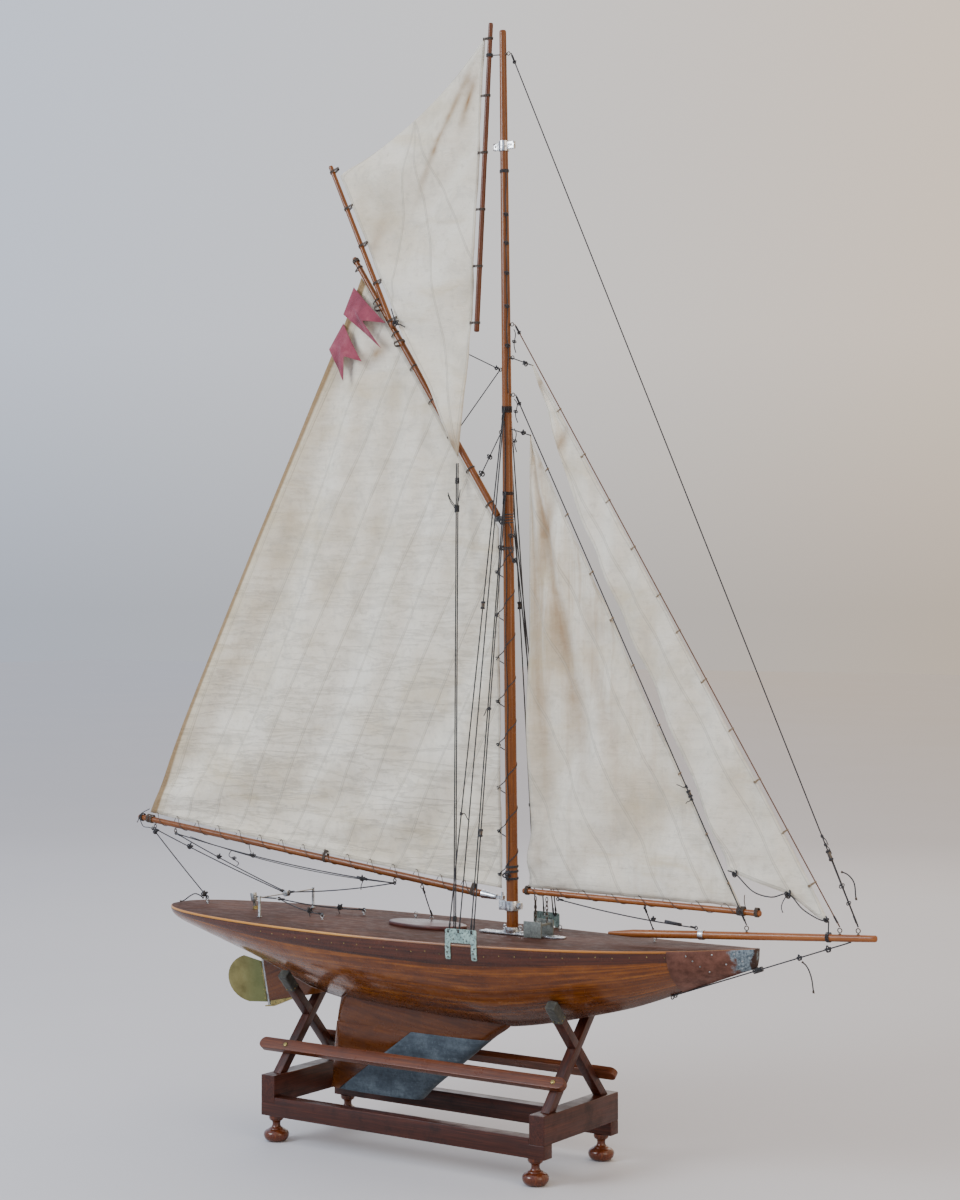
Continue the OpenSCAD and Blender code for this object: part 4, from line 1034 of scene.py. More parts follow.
# ------------------------------------------------------------------ stand
for node in ("rail_port", "rail_starboard"):
    refine(node, MAHOGANY, bevel=0.7, grain=(1, 0, 0))
for node in ("end_board_aft", "end_board_fore"):
    refine(node, MAHOGANY, bevel=0.8, segments=3, grain=(0, 1, 0))
for node in ("legs_aft", "legs_fore"):
    refine(node, MAHOGANY, bevel=0.7, grain=(0, 0.7, 0.7))
for node in ("stretcher_port", "stretcher_starboard"):
    refine(node, MAHOGANY_LIGHT, bevel=1.0, segments=3, grain=(1, 0, 0))


def lathe(foot, profile, sides=48):
    """A turned piece, upright on foot. profile holds (radius, height) in millimetres."""
    verts, local = [], []
    for r, h in profile:
        for c, s in circle(sides):
            verts.append(at(foot[0] + r * c, foot[1] + r * s, h))
            local.append((r * c / 1000, r * s / 1000, h / 1000))
    return verts, ring_faces(len(profile), sides) + caps(len(profile), sides), local


FOOT_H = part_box("rail_port")[0].z * 1000
FOOT_PROFILE = ((9.4, 0), (10, 0.3), (12.6, 1.2), (14.8, 3.2), (16.2, 6), (16.6, 8.8),
                (16.2, 11.2), (14.9, 13.2), (12.6, 14.8), (10.0, 15.9), (9.3, 16.3), (9.2, 17.0),
                (8.2, 17.5), (6.6, 18.4), (5.7, 19.8), (5.2, 21.6), (5.2, 23.6), (5.7, 25.4),
                (6.9, 26.8), (8.3, 27.6), (8.9, 28.2), (8.7, 29.0), (9.5, 29.6), (9.7, 30.6),
                (9.6, 33.4))
FOOT_X, FOOT_Y, PROFILE_H = (-321.7, 84), (-76.3, 76.3), 33.6
feet = [lathe((x, y), [(r, h * FOOT_H / PROFILE_H) for r, h in FOOT_PROFILE])
        for x in FOOT_X for y in FOOT_Y]
piece("turned_feet", merged(feet), FOOT_WOOD, "stand", ("bun_feet",), sharp=60)

CROSS_Z, LEG_UP, PAD_LEN, LEG_W, LEG_T = 155.0, 80.0, 27.0, 13.0, 11.2
LEG_X = [(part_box(n)[0].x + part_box(n)[1].x) * 500 - MAST_X for n in ("legs_aft", "legs_fore")]
BOARD_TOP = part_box("end_board_aft")[1].z * 1000
LEG_SPREAD = 61
LEAN = math.atan2(LEG_SPREAD, CROSS_Z - BOARD_TOP)


def leg_frame(x, side):
    """The crossing point of a pair of legs and the axes across, through and along one leg."""
    along = Vector((0, -side * math.sin(LEAN), math.cos(LEAN)))
    through = Vector((0, math.cos(LEAN), side * math.sin(LEAN)))
    return at(x, 0, CROSS_Z), Vector((1, 0, 0)), through, along


def pad(x, side):
    """A leather sleeve folded over the end of a leg, wrinkled and puffed a little."""
    origin, across, through, along = leg_frame(x, side)
    rows, m = 16, 44
    verts, local = [], []
    for i in range(rows + 4):
        f = min(i / rows, 1)
        grow = 1.0
        h = LEG_UP - PAD_LEN + (PAD_LEN + 0.3) * f
        cap = i - rows
        if cap > 0:
            h = LEG_UP + (0.7, 1.05, 1.15, 1.15)[cap]
            grow = (1, 0.93, 0.6, 0.1)[cap]
        for k in range(m):
            a = math.tau * k / m
            c, s = math.cos(a), math.sin(a)
            square = (abs(c) ** 7 + abs(s) ** 7) ** (-1 / 7)
            out = (0.82 + 0.16 * math.sin(3.1 * h + 2 * math.sin(a * 2) + x)
                   + 0.10 * math.sin(5 * a + h) + 0.25 * max(0, 1 - f * 8))
            ex, ey = (LEG_W / 2 + out) * grow, (LEG_T / 2 + out) * grow
            verts.append(origin + (across * (c * square * ex) + through * (s * square * ey)
                                   + along * h) / 1000)
            local.append((k / m, h / 1000, 0))
    return verts, ring_faces(rows + 4, m) + caps(rows + 4, m), local


def pad_nails(x, side):
    """Tacks through the sleeve's skirt."""
    origin, across, through, along = leg_frame(x, side)
    parts = []
    for out, deep, w in ((through, LEG_T, LEG_W), (-through, LEG_T, LEG_W),
                         (across, LEG_W, LEG_T), (-across, LEG_W, LEG_T)):
        tangent = along.cross(out)
        for t in (-0.28, 0.28):
            p = origin + (out * (deep / 2 + 1) + tangent * (t * w)
                          + along * (LEG_UP - PAD_LEN + 3.2)) / 1000
            parts += pin_row([p], out, 0.9, 0.6)
    return parts


pads, tacks = [], []
for x in LEG_X:
    for side in (-1, 1):
        pads.append(pad(x, side))
        tacks += pad_nails(x, side)
piece("leather_sleeves", merged(pads), leather_material(), "stand",
      ("leg_pads",), sharp=50)
piece("sleeve_tacks", merged(tacks), BRASS, "stand")
refine("stand_screws", BRASS, bevel=0.25)


# ------------------------------------------------------------------ spars
MAST_TOP, MAST_FOOT, MAST_RAKE = 1431.0, 290.3, math.radians(0.75)


def mast_x(z):
    return -(z - MAST_FOOT) * math.tan(MAST_RAKE)


def mast_at(z, aft=0.0):
    return mast_x(z) + aft, 0, z


def mast_r(z):
    return MAST_FOOT_R - 3.0 * (z - MAST_FOOT) / (MAST_TOP - MAST_FOOT)


def spar(name, start, end, radii, material, body, stands_for, rings=40, sides=24):
    """A turned spar with eased ends. radii are in millimetres, spread evenly along it."""
    a, b = Vector(start), Vector(end)
    length = (b - a).length
    pts, rad = [], []
    for i in range(rings + 1):
        f = i / rings
        j = f * (len(radii) - 1)
        k = min(int(j), len(radii) - 2)
        r = radii[k] + (radii[k + 1] - radii[k]) * (j - k)
        pts.append(a.lerp(b, f))
        rad.append(r / 1000)
    # The ends are rounded over: how far in, and how thick, as shares of the end's radius
    ease = [(0.0, 0.55), (0.10, 0.80), (0.28, 0.93), (0.6, 1.0)]
    d = (b - a) / length
    head = [(pts[0] + d * (rad[0] * e), rad[0] * g) for e, g in ease]
    tail = [(pts[-1] - d * (rad[-1] * e), rad[-1] * g) for e, g in reversed(ease)]
    pts = [p for p, _ in head] + pts[1:-1] + [p for p, _ in tail]
    rad = [r for _, r in head] + rad[1:-1] + [r for _, r in tail]
    return piece(name, sweep(pts, rad, sides, grain=True), material, body, stands_for)


spar("mast_pole", at(*mast_at(MAST_FOOT + 0.3)), at(*mast_at(MAST_TOP)),
     (7.5, 7.4, 6.6, 5.6, 4.5), SPAR_WOOD, "hull", ("mast",), rings=70, sides=32)
SPRIT_HEEL, SPRIT_TIP = Vector((141, 0, 301)), Vector((497, 0, 323))


def sprit_at(x, y=0.0, up=0.0):
    p = SPRIT_HEEL.lerp(SPRIT_TIP, (x - SPRIT_HEEL.x) / (SPRIT_TIP.x - SPRIT_HEEL.x))
    return p.x, p.y + y, p.z + up


spar("bowsprit_spar", at(*sprit_at(141)), at(*sprit_at(497)),
     (2.0, 5.0, 5.0, 4.95, 4.9, 4.8, 4.7, 4.6, 4.45, 4.3, 4.0), SPRIT_WOOD, "hull",
     ("bowsprit",), rings=60, sides=28)
BOOM_END, BOOM_START = Vector((-636.5, 0, 403)), Vector((-46, 0, 335.6))


def boom_at(x):
    return tuple(BOOM_START.lerp(BOOM_END, (BOOM_START.x - x) / (BOOM_START.x - BOOM_END.x)))


spar("boom_spar", at(*BOOM_END), at(*BOOM_START), (4.1, 4.35, 4.6, 4.75, 4.8), SPAR_WOOD,
     "main_rig", ("boom",))
GAFF_THROAT, GAFF_PEAK = Vector((-22, 0, 815)), Vector((-252, 0, 1163))
spar("gaff_spar", at(*GAFF_THROAT), at(*GAFF_PEAK), (4.3, 4.2, 4.1, 3.5), SPAR_WOOD,
     "main_rig", ("gaff",))
TOP_Y = -9.0
YARD_LOW, YARD_TOP = Vector((-49, TOP_Y, 1050)), Vector((-27, TOP_Y, 1440))
JACK_LOW, JACK_TOP = Vector((-181, TOP_Y, 1064)), Vector((-285, TOP_Y, 1287))
spar("yard_spar", at(*YARD_LOW), at(*YARD_TOP), (3.5, 3.4, 3.2, 3.0), YARD_WOOD, "main_rig",
     ("topsail_yard",))
spar("jackyard_spar", at(*JACK_LOW), at(*JACK_TOP), (3.5, 3.4, 3.2, 3.0), SPAR_WOOD, "main_rig",
     ("jackyard",))
CLUB_Y = 5.8
CLUB_AFT, CLUB_FORE = Vector((12, CLUB_Y, 343)), Vector((347, CLUB_Y, 339.5))
spar("club_spar", at(*CLUB_AFT), at(*CLUB_FORE), (3.5, 3.9, 4.0, 3.9, 3.7), SPRIT_WOOD,
     "staysail_rig", ("staysail_club",))

# ------------------------------------------------------------------ metal fittings
for node in ("mast_slide_plate", "mast_collar", "gooseneck_band", "masthead_band",
             "gammon_strap", "boom_ferrule"):
    refine(node, NICKEL, bevel=0.35, segments=2)
refine("sheet_horse", DULL_NICKEL, bevel=0.25)
for node in ("mast_eyes", "bowsprit_eyes", "boom_eyes"):
    refine(node, IRON, bevel=0)
refine("deck_eyes", DULL_NICKEL, bevel=0)
refine("club_bracket", ZINC, bevel=0.35)


PLATE_TOP, PLATE_FOOT, HOLE_Z = 304.5, 287.5, 300.5
SHROUD_X = (-29, -15, 3)


def chainplate(side):
    """The upright plate at the deck's edge with its two straps down the planking, and nails."""
    def wall(x, z, out):
        y = half_beam(x) if z > 281 else skin_y(x, z)
        return side * (y + 0.35 + out)

    lo, hi = PLATE_FOOT, PLATE_TOP
    straps = ((-33.5, -26.5), (2.5, 9.5))
    drop = lo - 21
    outline = [(-33.5, drop + 1.2), (-32.4, drop), (-27.6, drop), (-26.5, drop + 1.2),
               (-26.5, lo - 1), (-25.5, lo), (1.5, lo), (2.5, lo - 1), (2.5, drop + 1.2),
               (3.6, drop), (8.4, drop), (9.5, drop + 1.2), (9.5, hi - 2), (8, hi - 0.2),
               (-8, hi), (-31, hi - 0.1), (-33.3, hi - 1.4)]
    bm = bmesh.new()
    loops = [outline] + [[(x + 1.5 * c, HOLE_Z + 1.5 * s) for c, s in circle(16)]
                         for x in SHROUD_X]
    for loop in loops:
        ring = [bm.verts.new((x, 0, z)) for x, z in loop]
        for k in range(len(ring)):
            bm.edges.new((ring[k], ring[(k + 1) % len(ring)]))
    bmesh.ops.triangle_fill(bm, use_beauty=True, edges=bm.edges)
    for _ in range(2):
        long = [e for e in bm.edges if e.calc_length() > 3.0]
        bmesh.ops.subdivide_edges(bm, edges=long, cuts=1)
    bmesh.ops.triangulate(bm, faces=bm.faces)
    bm.verts.index_update()
    flat = [(v.co.x, v.co.z) for v in bm.verts]
    tris = [[v.index for v in f.verts] for f in bm.faces]
    border = [[v.index for v in e.verts] for e in bm.edges if len(e.link_faces) == 1]
    uses = {tuple(sorted(e)): [t for t in tris if e[0] in t and e[1] in t][0] for e in border}
    bm.free()
    n = len(flat)
    verts = [at(x, wall(x, z, out), z) for out in (0, 1.25) for x, z in flat]
    faces = [tuple(t) for t in tris] + [tuple(n + i for i in reversed(t)) for t in tris]
    for (i, j), t in uses.items():
        k = t.index(i)
        faces.append((i, j, n + j, n + i) if t[(k + 1) % 3] != j else (j, i, n + i, n + j))
    parts = [(verts, faces, [(0, 0, 0)] * len(verts))]
    nails = []
    for x0, x1 in straps:
        for k, z in enumerate((281.5, 275.5, 269.5)):
            x = (x0 + x1) / 2 + (0.8, -0.8, 0.3)[k]
            nails += pin_row([at(x, wall(x, z, 1.2), z)], (0, side, 0), 1.15, 0.7)
    for x in (-22, -8):
        nails += pin_row([at(x, wall(x, 292, 1.2), 292)], (0, side, 0), 0.9, 0.5)
    return parts, nails


plates, plate_nails = [], []
for side in (-1, 1):
    a, b = chainplate(side)
    plates += a
    plate_nails += b
piece("shroud_plates", merged(plates), VERDIGRIS, "hull", ("chainplates",), sharp=35)
piece("plate_nails", merged(plate_nails), IRON, "hull")

# ------------------------------------------------------------------ sails
def resampled(points, count, ease=3):
    """count points spaced evenly along a smooth line through points (x, z)."""
    p = np.array([[v.x, v.z] for v in smooth_path([(x, 0, z) for x, z in points], ease)])
    run = np.concatenate([[0], np.cumsum(np.linalg.norm(np.diff(p, axis=0), axis=1))])
    t = np.linspace(0, run[-1], count)
    return np.stack([np.interp(t, run, p[:, 0]), np.interp(t, run, p[:, 1])], axis=1)


def coons(low, high, left, right, columns, rows):
    """A grid of (x, z) filling four sides. low and high run left to right, the others upward."""
    a, b = resampled(low, columns), resampled(high, columns)
    c, d = resampled(left, rows), resampled(right, rows)
    u = np.linspace(0, 1, columns)[None, :, None]
    v = np.linspace(0, 1, rows)[:, None, None]
    ruled = (1 - v) * a[None] + v * b[None] + (1 - u) * c[:, None] + u * d[:, None]
    corners = ((1 - u) * (1 - v) * a[0] + u * (1 - v) * a[-1] + (1 - u) * v * b[0]
               + u * v * b[-1])
    return ruled - corners


class Sail:
    """A sheet of cloth built as a grid, settled by the cloth solver and then hemmed."""

    def __init__(self, name, grid, y, pins, belly, shrink, body, node, material, folds=()):
        self.body, self.node, self.folds = body, node, folds
        self.rows, self.columns = grid.shape[:2]
        rng = np.random.default_rng(len(name) * 7 + 3)
        u = np.linspace(0, 1, self.columns)[None, :]
        v = np.linspace(0, 1, self.rows)[:, None]
        phase = rng.uniform(0, math.tau, 4)
        ripple = (np.sin(u * 9 + phase[0] + v * 3) + np.sin(v * 13 + phase[1] + u * 4)
                  + np.sin((u + v) * 17 + phase[2])) / 3
        full = np.sin(math.pi * np.clip(u, 0, 1)) * np.sin(math.pi * np.clip(v, 0, 1)) ** 0.6
        offset = y + belly * full + 0.8 * ripple
        self.start = np.array([at(x, o, z) for (x, z), o in
                               zip(grid.reshape(-1, 2), offset.ravel())])
        faces = ring_faces(self.rows, self.columns, wrap=False)
        mesh = bpy.data.meshes.new(name)
        mesh.from_pydata(self.start.tolist(), [], faces)
        mesh.materials.append(material)
        self.object = bpy.data.objects.new(name, mesh)
        scene.collection.objects.link(self.object)
        group = self.object.vertex_groups.new(name="pins")
        for j in range(self.rows):
            for i in range(self.columns):
                w = pins(i, j, self.columns, self.rows)
                if w:
                    group.add([j * self.columns + i], w, "REPLACE")
        cloth = self.object.modifiers.new("Cloth", "CLOTH")
        c = cloth.settings
        c.quality = 6
        c.mass = 0.15
        c.tension_stiffness = c.compression_stiffness = 40
        c.shear_stiffness = 12
        c.bending_stiffness = 0.35
        c.tension_damping = c.compression_damping = c.shear_damping = 12
        c.bending_damping = 0.6
        c.air_damping = 6
        c.shrink_min = -shrink
        c.vertex_group_mass = "pins"
        c.pin_stiffness = 2
        cloth.collision_settings.use_collision = False
        cloth.collision_settings.use_self_collision = False

    def settle(self):
        """Takes the settled shape, holding it near the flat sail, then hems and thickens it."""
        graph = bpy.context.evaluated_depsgraph_get()
        shape = self.object.evaluated_get(graph).data
        co = np.empty(len(shape.vertices) * 3)
        shape.vertices.foreach_get("co", co)
        moved = co.reshape(-1, 3) - self.start
        for axis, limit in ((0, 0.0035), (1, 0.011), (2, 0.0035)):
            moved[:, axis] = limit * np.tanh(moved[:, axis] / limit)
        self.finish(self.start + moved)

    def pleats(self):
        """Depth in metres, and brown stain with painted shade, of the old folds that run up to the
        head. Each fold is its column, its half width, its lower and upper end, its depth in mm and
        its stain and shade."""
        u = np.linspace(0, 1, self.columns)[None, :]
        v = np.linspace(0, 1, self.rows)[:, None]
        deep = np.zeros((self.rows, self.columns))
        stain_and_shade = deep.copy()
        for middle, half, low, high, depth, tint in self.folds:
            run = np.clip((v - low) / 0.25, 0, 1) * np.clip((high - v) / 0.12, 0, 1)
            ridge = run * np.exp(-((u - middle) / half) ** 2)
            deep += ridge * depth / 1000
            stain_and_shade += ridge * tint
        return deep.ravel(), stain_and_shade.ravel()

    def finish(self, co):
        self.object.modifiers.clear()
        self.object.vertex_groups.clear()
        mesh = self.object.data
        deep, stain_and_shade = self.pleats()
        co = co + np.stack([deep * 0, deep, deep * 0], axis=1)
        data = mesh.attributes.new("fold", "FLOAT", "POINT")
        data.data.foreach_set("value", stain_and_shade.astype(np.float32))
        mesh.vertices.foreach_set("co", co.astype(np.float32).ravel())
        hem(self.object, 1, 0.0005)
        self.measure()
        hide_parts(self.node)
        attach(self.object, self.body)

    def measure(self):
        """Writes 'local': metres from the leech, from the foot and from the nearest edge."""
        mesh = self.object.data
        co = np.empty(len(mesh.vertices) * 3)
        mesh.vertices.foreach_get("co", co)
        flat = co.reshape(-1, 3)[:, (0, 2)]
        grid = self.start.reshape(self.rows, self.columns, 3)[:, :, (0, 2)]
        sides = {"leech": grid[:, 0], "foot": grid[0], "luff": grid[:, -1], "head": grid[-1]}
        far = {}
        for key, line in sides.items():
            best = np.full(len(flat), 9.0)
            for a, b in zip(line[:-1], line[1:]):
                d = b - a
                t = np.clip(((flat - a) @ d) / max(d @ d, 1e-12), 0, 1)
                best = np.minimum(best, np.linalg.norm(flat - a - t[:, None] * d, axis=1))
            far[key] = best
        edge = np.minimum.reduce(list(far.values()))
        write_local(mesh, np.stack([far["leech"], far["foot"], edge], axis=1))


def held_sides(*sides, every=1):
    """Pins along whole sides of the grid, at every n-th knot."""
    def weight(i, j, columns, rows):
        on = (("foot" in sides and j == 0 and i % every == 0)
              or ("head" in sides and j == rows - 1 and i % every == 0)
              or ("luff" in sides and i == columns - 1 and j % every == 0)
              or ("leech" in sides and i == 0 and j % every == 0))
        corner = i in (0, columns - 1) and j in (0, rows - 1)
        return 1 if on or corner else 0
    return weight


TAPE = (0.0105, (0.25, 0.150, 0.058))
main_cloth = sailcloth("sailcloth_main", -27.3, 43, 12, crease_shade=1.0, tape=TAPE,
                       blots=((-215, 1035, 55, 26, 30, 0.75), (-238, 1085, 26, 30, 0, 0.5),
                              (-600, 425, 60, 40, 20, 0.35), (-40, 470, 60, 90, 10, 0.22)))
top_cloth = sailcloth("sailcloth_top", 0, 0, 0, crease_shade=0.5, warm=0.06,
                      streaks=(((-153, 1333), (-183, 1101)), ((-153, 1333), (-86, 944)),
                               ((-153, 1333), (-66, 1164))),
                      blots=((-100, 1308, 150, 9, 61, 1.0), (-60, 1345, 60, 10, 70, 0.9),
                             (-60, 1370, 60, 40, 50, 0.5), (-84, 905, 16, 46, 10, 0.9),
                             (-210, 1180, 30, 90, -20, 0.35)))
stay_cloth = sailcloth("sailcloth_stay", 27.5, 53, 20, crease_shade=0.35, warm=0.14, upright=0.6,
                       blots=((50, 800, 20, 110, -6, 0.75), (30, 720, 10, 190, 0, 0.4),
                              (60, 660, 22, 90, 8, 0.3), (110, 690, 22, 60, 24, 0.3),
                              (40, 880, 22, 50, -8, 0.8), (36, 400, 40, 60, 0, 0.35)))
jib_cloth = sailcloth("sailcloth_jib", 31.4, 50, 8, crease_shade=0.3, warm=0.08, upright=0.12,
                      blots=((40, 975, 14, 60, -22, 0.9), (70, 900, 14, 90, -25, 0.55),
                             (330, 400, 60, 30, 20, 0.3)))
FLAG = flag_material()

LUFF = [(-16, 345), (-18, 470), (-20, 640), (-21, 800)]
main_grid = coons([(-616, 410), (-400, 383.5), (-200, 361), (-16, 345)],
                  [(-240, 1136), (-173, 1033.5), (-93, 912.5), (-21, 800)],
                  [(-616, 410), (-461, 709), (-343, 930), (-240, 1136)],
                  LUFF, 45, 53)
top_grid = coons([(-172, 1066), (-146, 1022), (-121, 982), (-100, 936), (-78, 892)],
                 [(-268, 1272), (-206, 1308), (-150, 1340), (-90, 1382), (-36, 1424)],
                 [(-172, 1066), (-268, 1272)],
                 [(-78, 892), (-66, 980), (-58, 1050), (-36, 1424)], 21, 33)
stay_grid = coons([(22, 349), (120, 348), (230, 347), (322, 345)], [(24, 918), (26, 916)],
                  [(22, 349), (20, 520), (20, 700), (21, 830), (24, 918)],
                  [(322, 345), (250, 480), (170, 634), (95, 780), (26, 916)], 23, 41)
jib_grid = coons([(306, 388), (345, 378), (386, 366), (412, 346), (437, 338)],
                 [(29, 1006), (31, 1004)],
                 [(306, 388), (240, 532), (172, 666), (104, 806), (60, 916), (29, 1006)],
                 [(437, 338), (390, 420), (290, 584), (160, 798), (31, 1004)], 15, 47)


sails = [
    Sail("cloth_main", main_grid, 0, held_sides("foot", "luff", "head", every=2), 3.0, 0.010,
         "main_rig", "mainsail", main_cloth),
    Sail("cloth_topsail", top_grid, TOP_Y, held_sides("luff", "leech", every=2), 2.0, 0.012,
         "main_rig", "topsail", top_cloth),
    Sail("cloth_staysail", stay_grid, 3.4, held_sides("foot", "luff", every=2), -4.0, 0.022,
         "staysail_rig", "staysail", stay_cloth,
         folds=((0.38, 0.07, 0.18, 0.99, 3.6, 0.95), (0.10, 0.05, 0.08, 0.95, 2.2, 0.6),
                (0.62, 0.06, 0.12, 0.60, 1.8, 0.45), (0.24, 0.05, 0.20, 0.95, -2.2, 0),
                (0.51, 0.05, 0.25, 0.95, -2.0, 0))),
    Sail("cloth_jib", jib_grid, 0, held_sides("luff"), -5.0, 0.016, "jib_rig", "jib", jib_cloth),
]
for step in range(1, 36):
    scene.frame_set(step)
for s in sails:
    s.settle()
scene.frame_set(1)


def pennant(name, low, high, upper_tip, fork, lower_tip, swell):
    """A swallow-tailed pennant sewn to the leech, its tails blown forward of the gaff."""
    n, m = 12, 17
    verts = []
    for j in range(n + 1):
        v = j / n
        hoist = Vector(low).lerp(Vector(high), v)
        far = (Vector(lower_tip).lerp(Vector(fork), 2 * v) if v < 0.5
               else Vector(fork).lerp(Vector(upper_tip), 2 * v - 1))
        for i in range(m):
            u = i / (m - 1)
            x, z = hoist.lerp(far, u)
            wave = swell * math.sin(u * 4.6 + v * 2.4) * u + 0.6 * math.sin(u * 13 + v * 6) * u
            verts.append(at(x, -3.6 - 11 * u ** 0.8 + wave, z))
    o = piece(name, (verts, ring_faces(n + 1, m, wrap=False), []), FLAG)
    hem(o, 2, 0.0004)
    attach(o, "main_rig")
    return o


upper = pennant("pennant_upper", (-267.5, 1089), (-250, 1123.5), (-190, 1071), (-228, 1077),
                (-195, 1038), 2.2)
pennant("pennant_lower", (-291.5, 1044), (-267.5, 1077), (-229, 1023), (-258, 1032),
        (-258, 999), 1.8)
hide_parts("pennants")

# ------------------------------------------------------------------ rigging kit
LINE_R = 0.0008


def tube(points, radius=LINE_R, sides=10, closed=False):
    return sweep(points, radius, sides, closed)


def straight(a, b, radius=LINE_R, sag=0.0, rings=14):
    a, b = Vector(a), Vector(b)
    return tube([a.lerp(b, f) - UP * (sag * 4 * f * (1 - f))
                 for f in (k / rings for k in range(rings + 1))], radius)


def strand(*points, r=0.6, steps=6):
    """A line of radius r millimetres on a smooth course through points of the yacht."""
    return tube(smooth_path([at(*q) for q in points], steps), r / 1000, 8)


def knot(c, axis, size=2.2, radius=0.00062):
    """A trefoil of line round the point c."""
    u, v, w = basis(axis)
    pts = []
    for k in range(42):
        t = math.tau * k / 42
        r = (1.4 + math.cos(3 * t)) * size / 2400
        pts.append(c + (u * math.cos(2 * t) + v * math.sin(2 * t)) * r
                   + w * math.sin(3 * t) * size / 1700)
    return tube(pts, radius, 8, True)


def whipping(a, b, radius, turns=None, wire=0.0003):
    """Close turns of twine on a line, from a to b."""
    a, b = Vector(a), Vector(b)
    turns = turns or max(int((b - a).length / 0.00075), 3)
    return tube(helix(a, b, radius, turns, per_turn=12), wire, 6)


def bend(c, axis, side, r, tail=9, drop=5):
    """Two half hitches on a line and the loose end they leave."""
    u, _, w = basis(axis)
    side = Vector(side).normalized()
    ring = tube(helix(c - w * 0.0016, c + w * 0.0016, r + 0.0006, 2.2, per_turn=14), 0.0006, 7)
    start = c + side * (r + 0.0006)
    end = tube(smooth_path([start, start + side * 0.003 + w * 0.0015,
                            start + side * tail * 0.0006 - UP * drop * 0.0004,
                            start + side * tail * 0.0009 - UP * drop * 0.001], 5), 0.00055, 7)
    return [ring, end]


def seizing(c, axis, toward, r, reach, turns=2, wire=0.00045, pitch=0.0011):
    """Turns of twine round a spar of radius r that reach out to a sail's edge."""
    w = Vector(axis).normalized()
    toward = (Vector(toward) - w * Vector(toward).dot(w)).normalized()
    n = w.cross(toward)
    pts = []
    count = int(turns * 20)
    for k in range(count + 1):
        a = math.tau * k / 20
        co, si = math.cos(a), math.sin(a)
        out = r + (reach * max(co, 0) ** 2)
        pts.append(Vector(c) + w * (pitch * (k / 20 - turns / 2)) + toward * co * out + n * si * r)
    return tube(pts, wire, 7)


def eye_ring(c, axis, r=0.0022, wire=0.0005):
    u, v, _ = basis(axis)
    return tube([c + (u * co + v * si) * r for co, si in circle(22)], wire, 8, True)


def collar(z, low, high, turns, gap=0.7, wire=0.0007, start=0.0, per_turn=24, sides=8):
    """Turns of line round the mast, from low to high millimetres above z."""
    x = mast_x(z)
    return tube(helix(at(x, 0, z + low), at(x, 0, z + high), (mast_r(z) + gap) / 1000, turns,
                      start, per_turn), wire, sides)


# ------------------------------------------------------------------ standing rigging
CHAIN_Z = HOLE_Z + 1.5


def chain_at(i, side, dx=0):
    return at(SHROUD_X[i] + dx, side * (half_beam(SHROUD_X[i]) - 0.75), CHAIN_Z)


def mast_side(z, aft, side):
    return at(mast_x(z) + aft, side * (mast_r(z) + 1.2), z)


def shroud_runs(side):
    return [(chain_at(0, side), mast_side(948, -1, side)),
            (chain_at(1, side), mast_side(952, 1, side)),
            (chain_at(2, side, -2), mast_side(842, -1, side)),
            (chain_at(2, side, 2), mast_side(846, 1.5, side))]


# How far out and up from a plate's hole the hook on a shroud's end runs, in millimetres
HOOK = ((-0.9, 1.2), (-0.2, -0.3), (1.4, -0.5), (2.4, 0.5), (2.2, 2.2), (1.2, 3.4))
shroud_parts, shroud_knots = [], []
for side in (-1, 1):
    runs = shroud_runs(side)
    for k, (a, b) in enumerate(runs):
        d = (b - a).normalized()
        shroud_parts.append(straight(a, b))
        shroud_knots.append(whipping(a + d * 0.004, a + d * 0.009, LINE_R + 0.0003))
        shroud_knots.append(whipping(b - d * 0.012, b - d * 0.005, LINE_R + 0.0003))
        # A wire hook from the line's end through its hole in the plate
        x = SHROUD_X[min(k, 2)]
        hook = [at(x + (0, 0, -0.5, 0.5)[k], side * (half_beam(x) + dy), HOLE_Z + dz)
                for dy, dz in HOOK]
        shroud_knots.append(tube(smooth_path([a + d * 0.005] + hook, 5), 0.00055, 8))
    # Collars of line round the mast where the shrouds gather
    for z in (948, 952, 844):
        shroud_knots.append(collar(z, -2.2, 2.2, 3.2, 0.6, 0.0006, per_turn=22, sides=7))
    a, b = runs[0]
    c = a.lerp(b, 0.22)
    shroud_knots += bend(c, b - a, (0.7, -side, -0.4), LINE_R, 11, 7)
    a, b = runs[3]
    shroud_knots += bend(a.lerp(b, 0.5), b - a, (-0.8, side, -0.5), LINE_R, 8, 6)
piece("shroud_lines", merged(shroud_parts), LINE, "hull", ("shrouds",))
piece("shroud_hitches", merged(shroud_knots), LINE, "hull")

STAYS = {"topmast_stay": (at(-2.25, 0, 1400), at(474, 0, 334.3), LINE),
         "jib_stay": (at(3.147, 0, 1057), at(451, 0, 332.86), BROWN_LINE),
         "inner_stay": (at(4.546, 0, 968), at(331, 0, 325.44), LINE)}
for name, (a, b, material) in STAYS.items():
    piece(name + "_line", straight(a, b, rings=30), material, "hull", (name,))

# Bowsies: a short toggle on the stay, with turns of line round it near each end
bow_parts, dark_parts = [], []


def bowsie(a, b, t, length, od=4.4):
    a, b = Vector(a), Vector(b)
    d = (b - a).normalized()
    c = a.lerp(b, t)
    half = length / 2000
    pts = [c + d * half * f for f in (-1, -0.94, -0.8, -0.4, 0, 0.4, 0.8, 0.94, 1)]
    rad = [od / 2000 * f for f in (0.62, 0.86, 0.96, 1, 1, 1, 0.96, 0.86, 0.62)]
    bow_parts.append(sweep(pts, rad, 18))
    for f in (-0.7, 0.7):
        dark_parts.append(tube(helix(c + d * half * f - d * 0.001, c + d * half * f + d * 0.001,
                                     od / 2000 + 0.0003, 2.5, per_turn=16), 0.0005, 7))


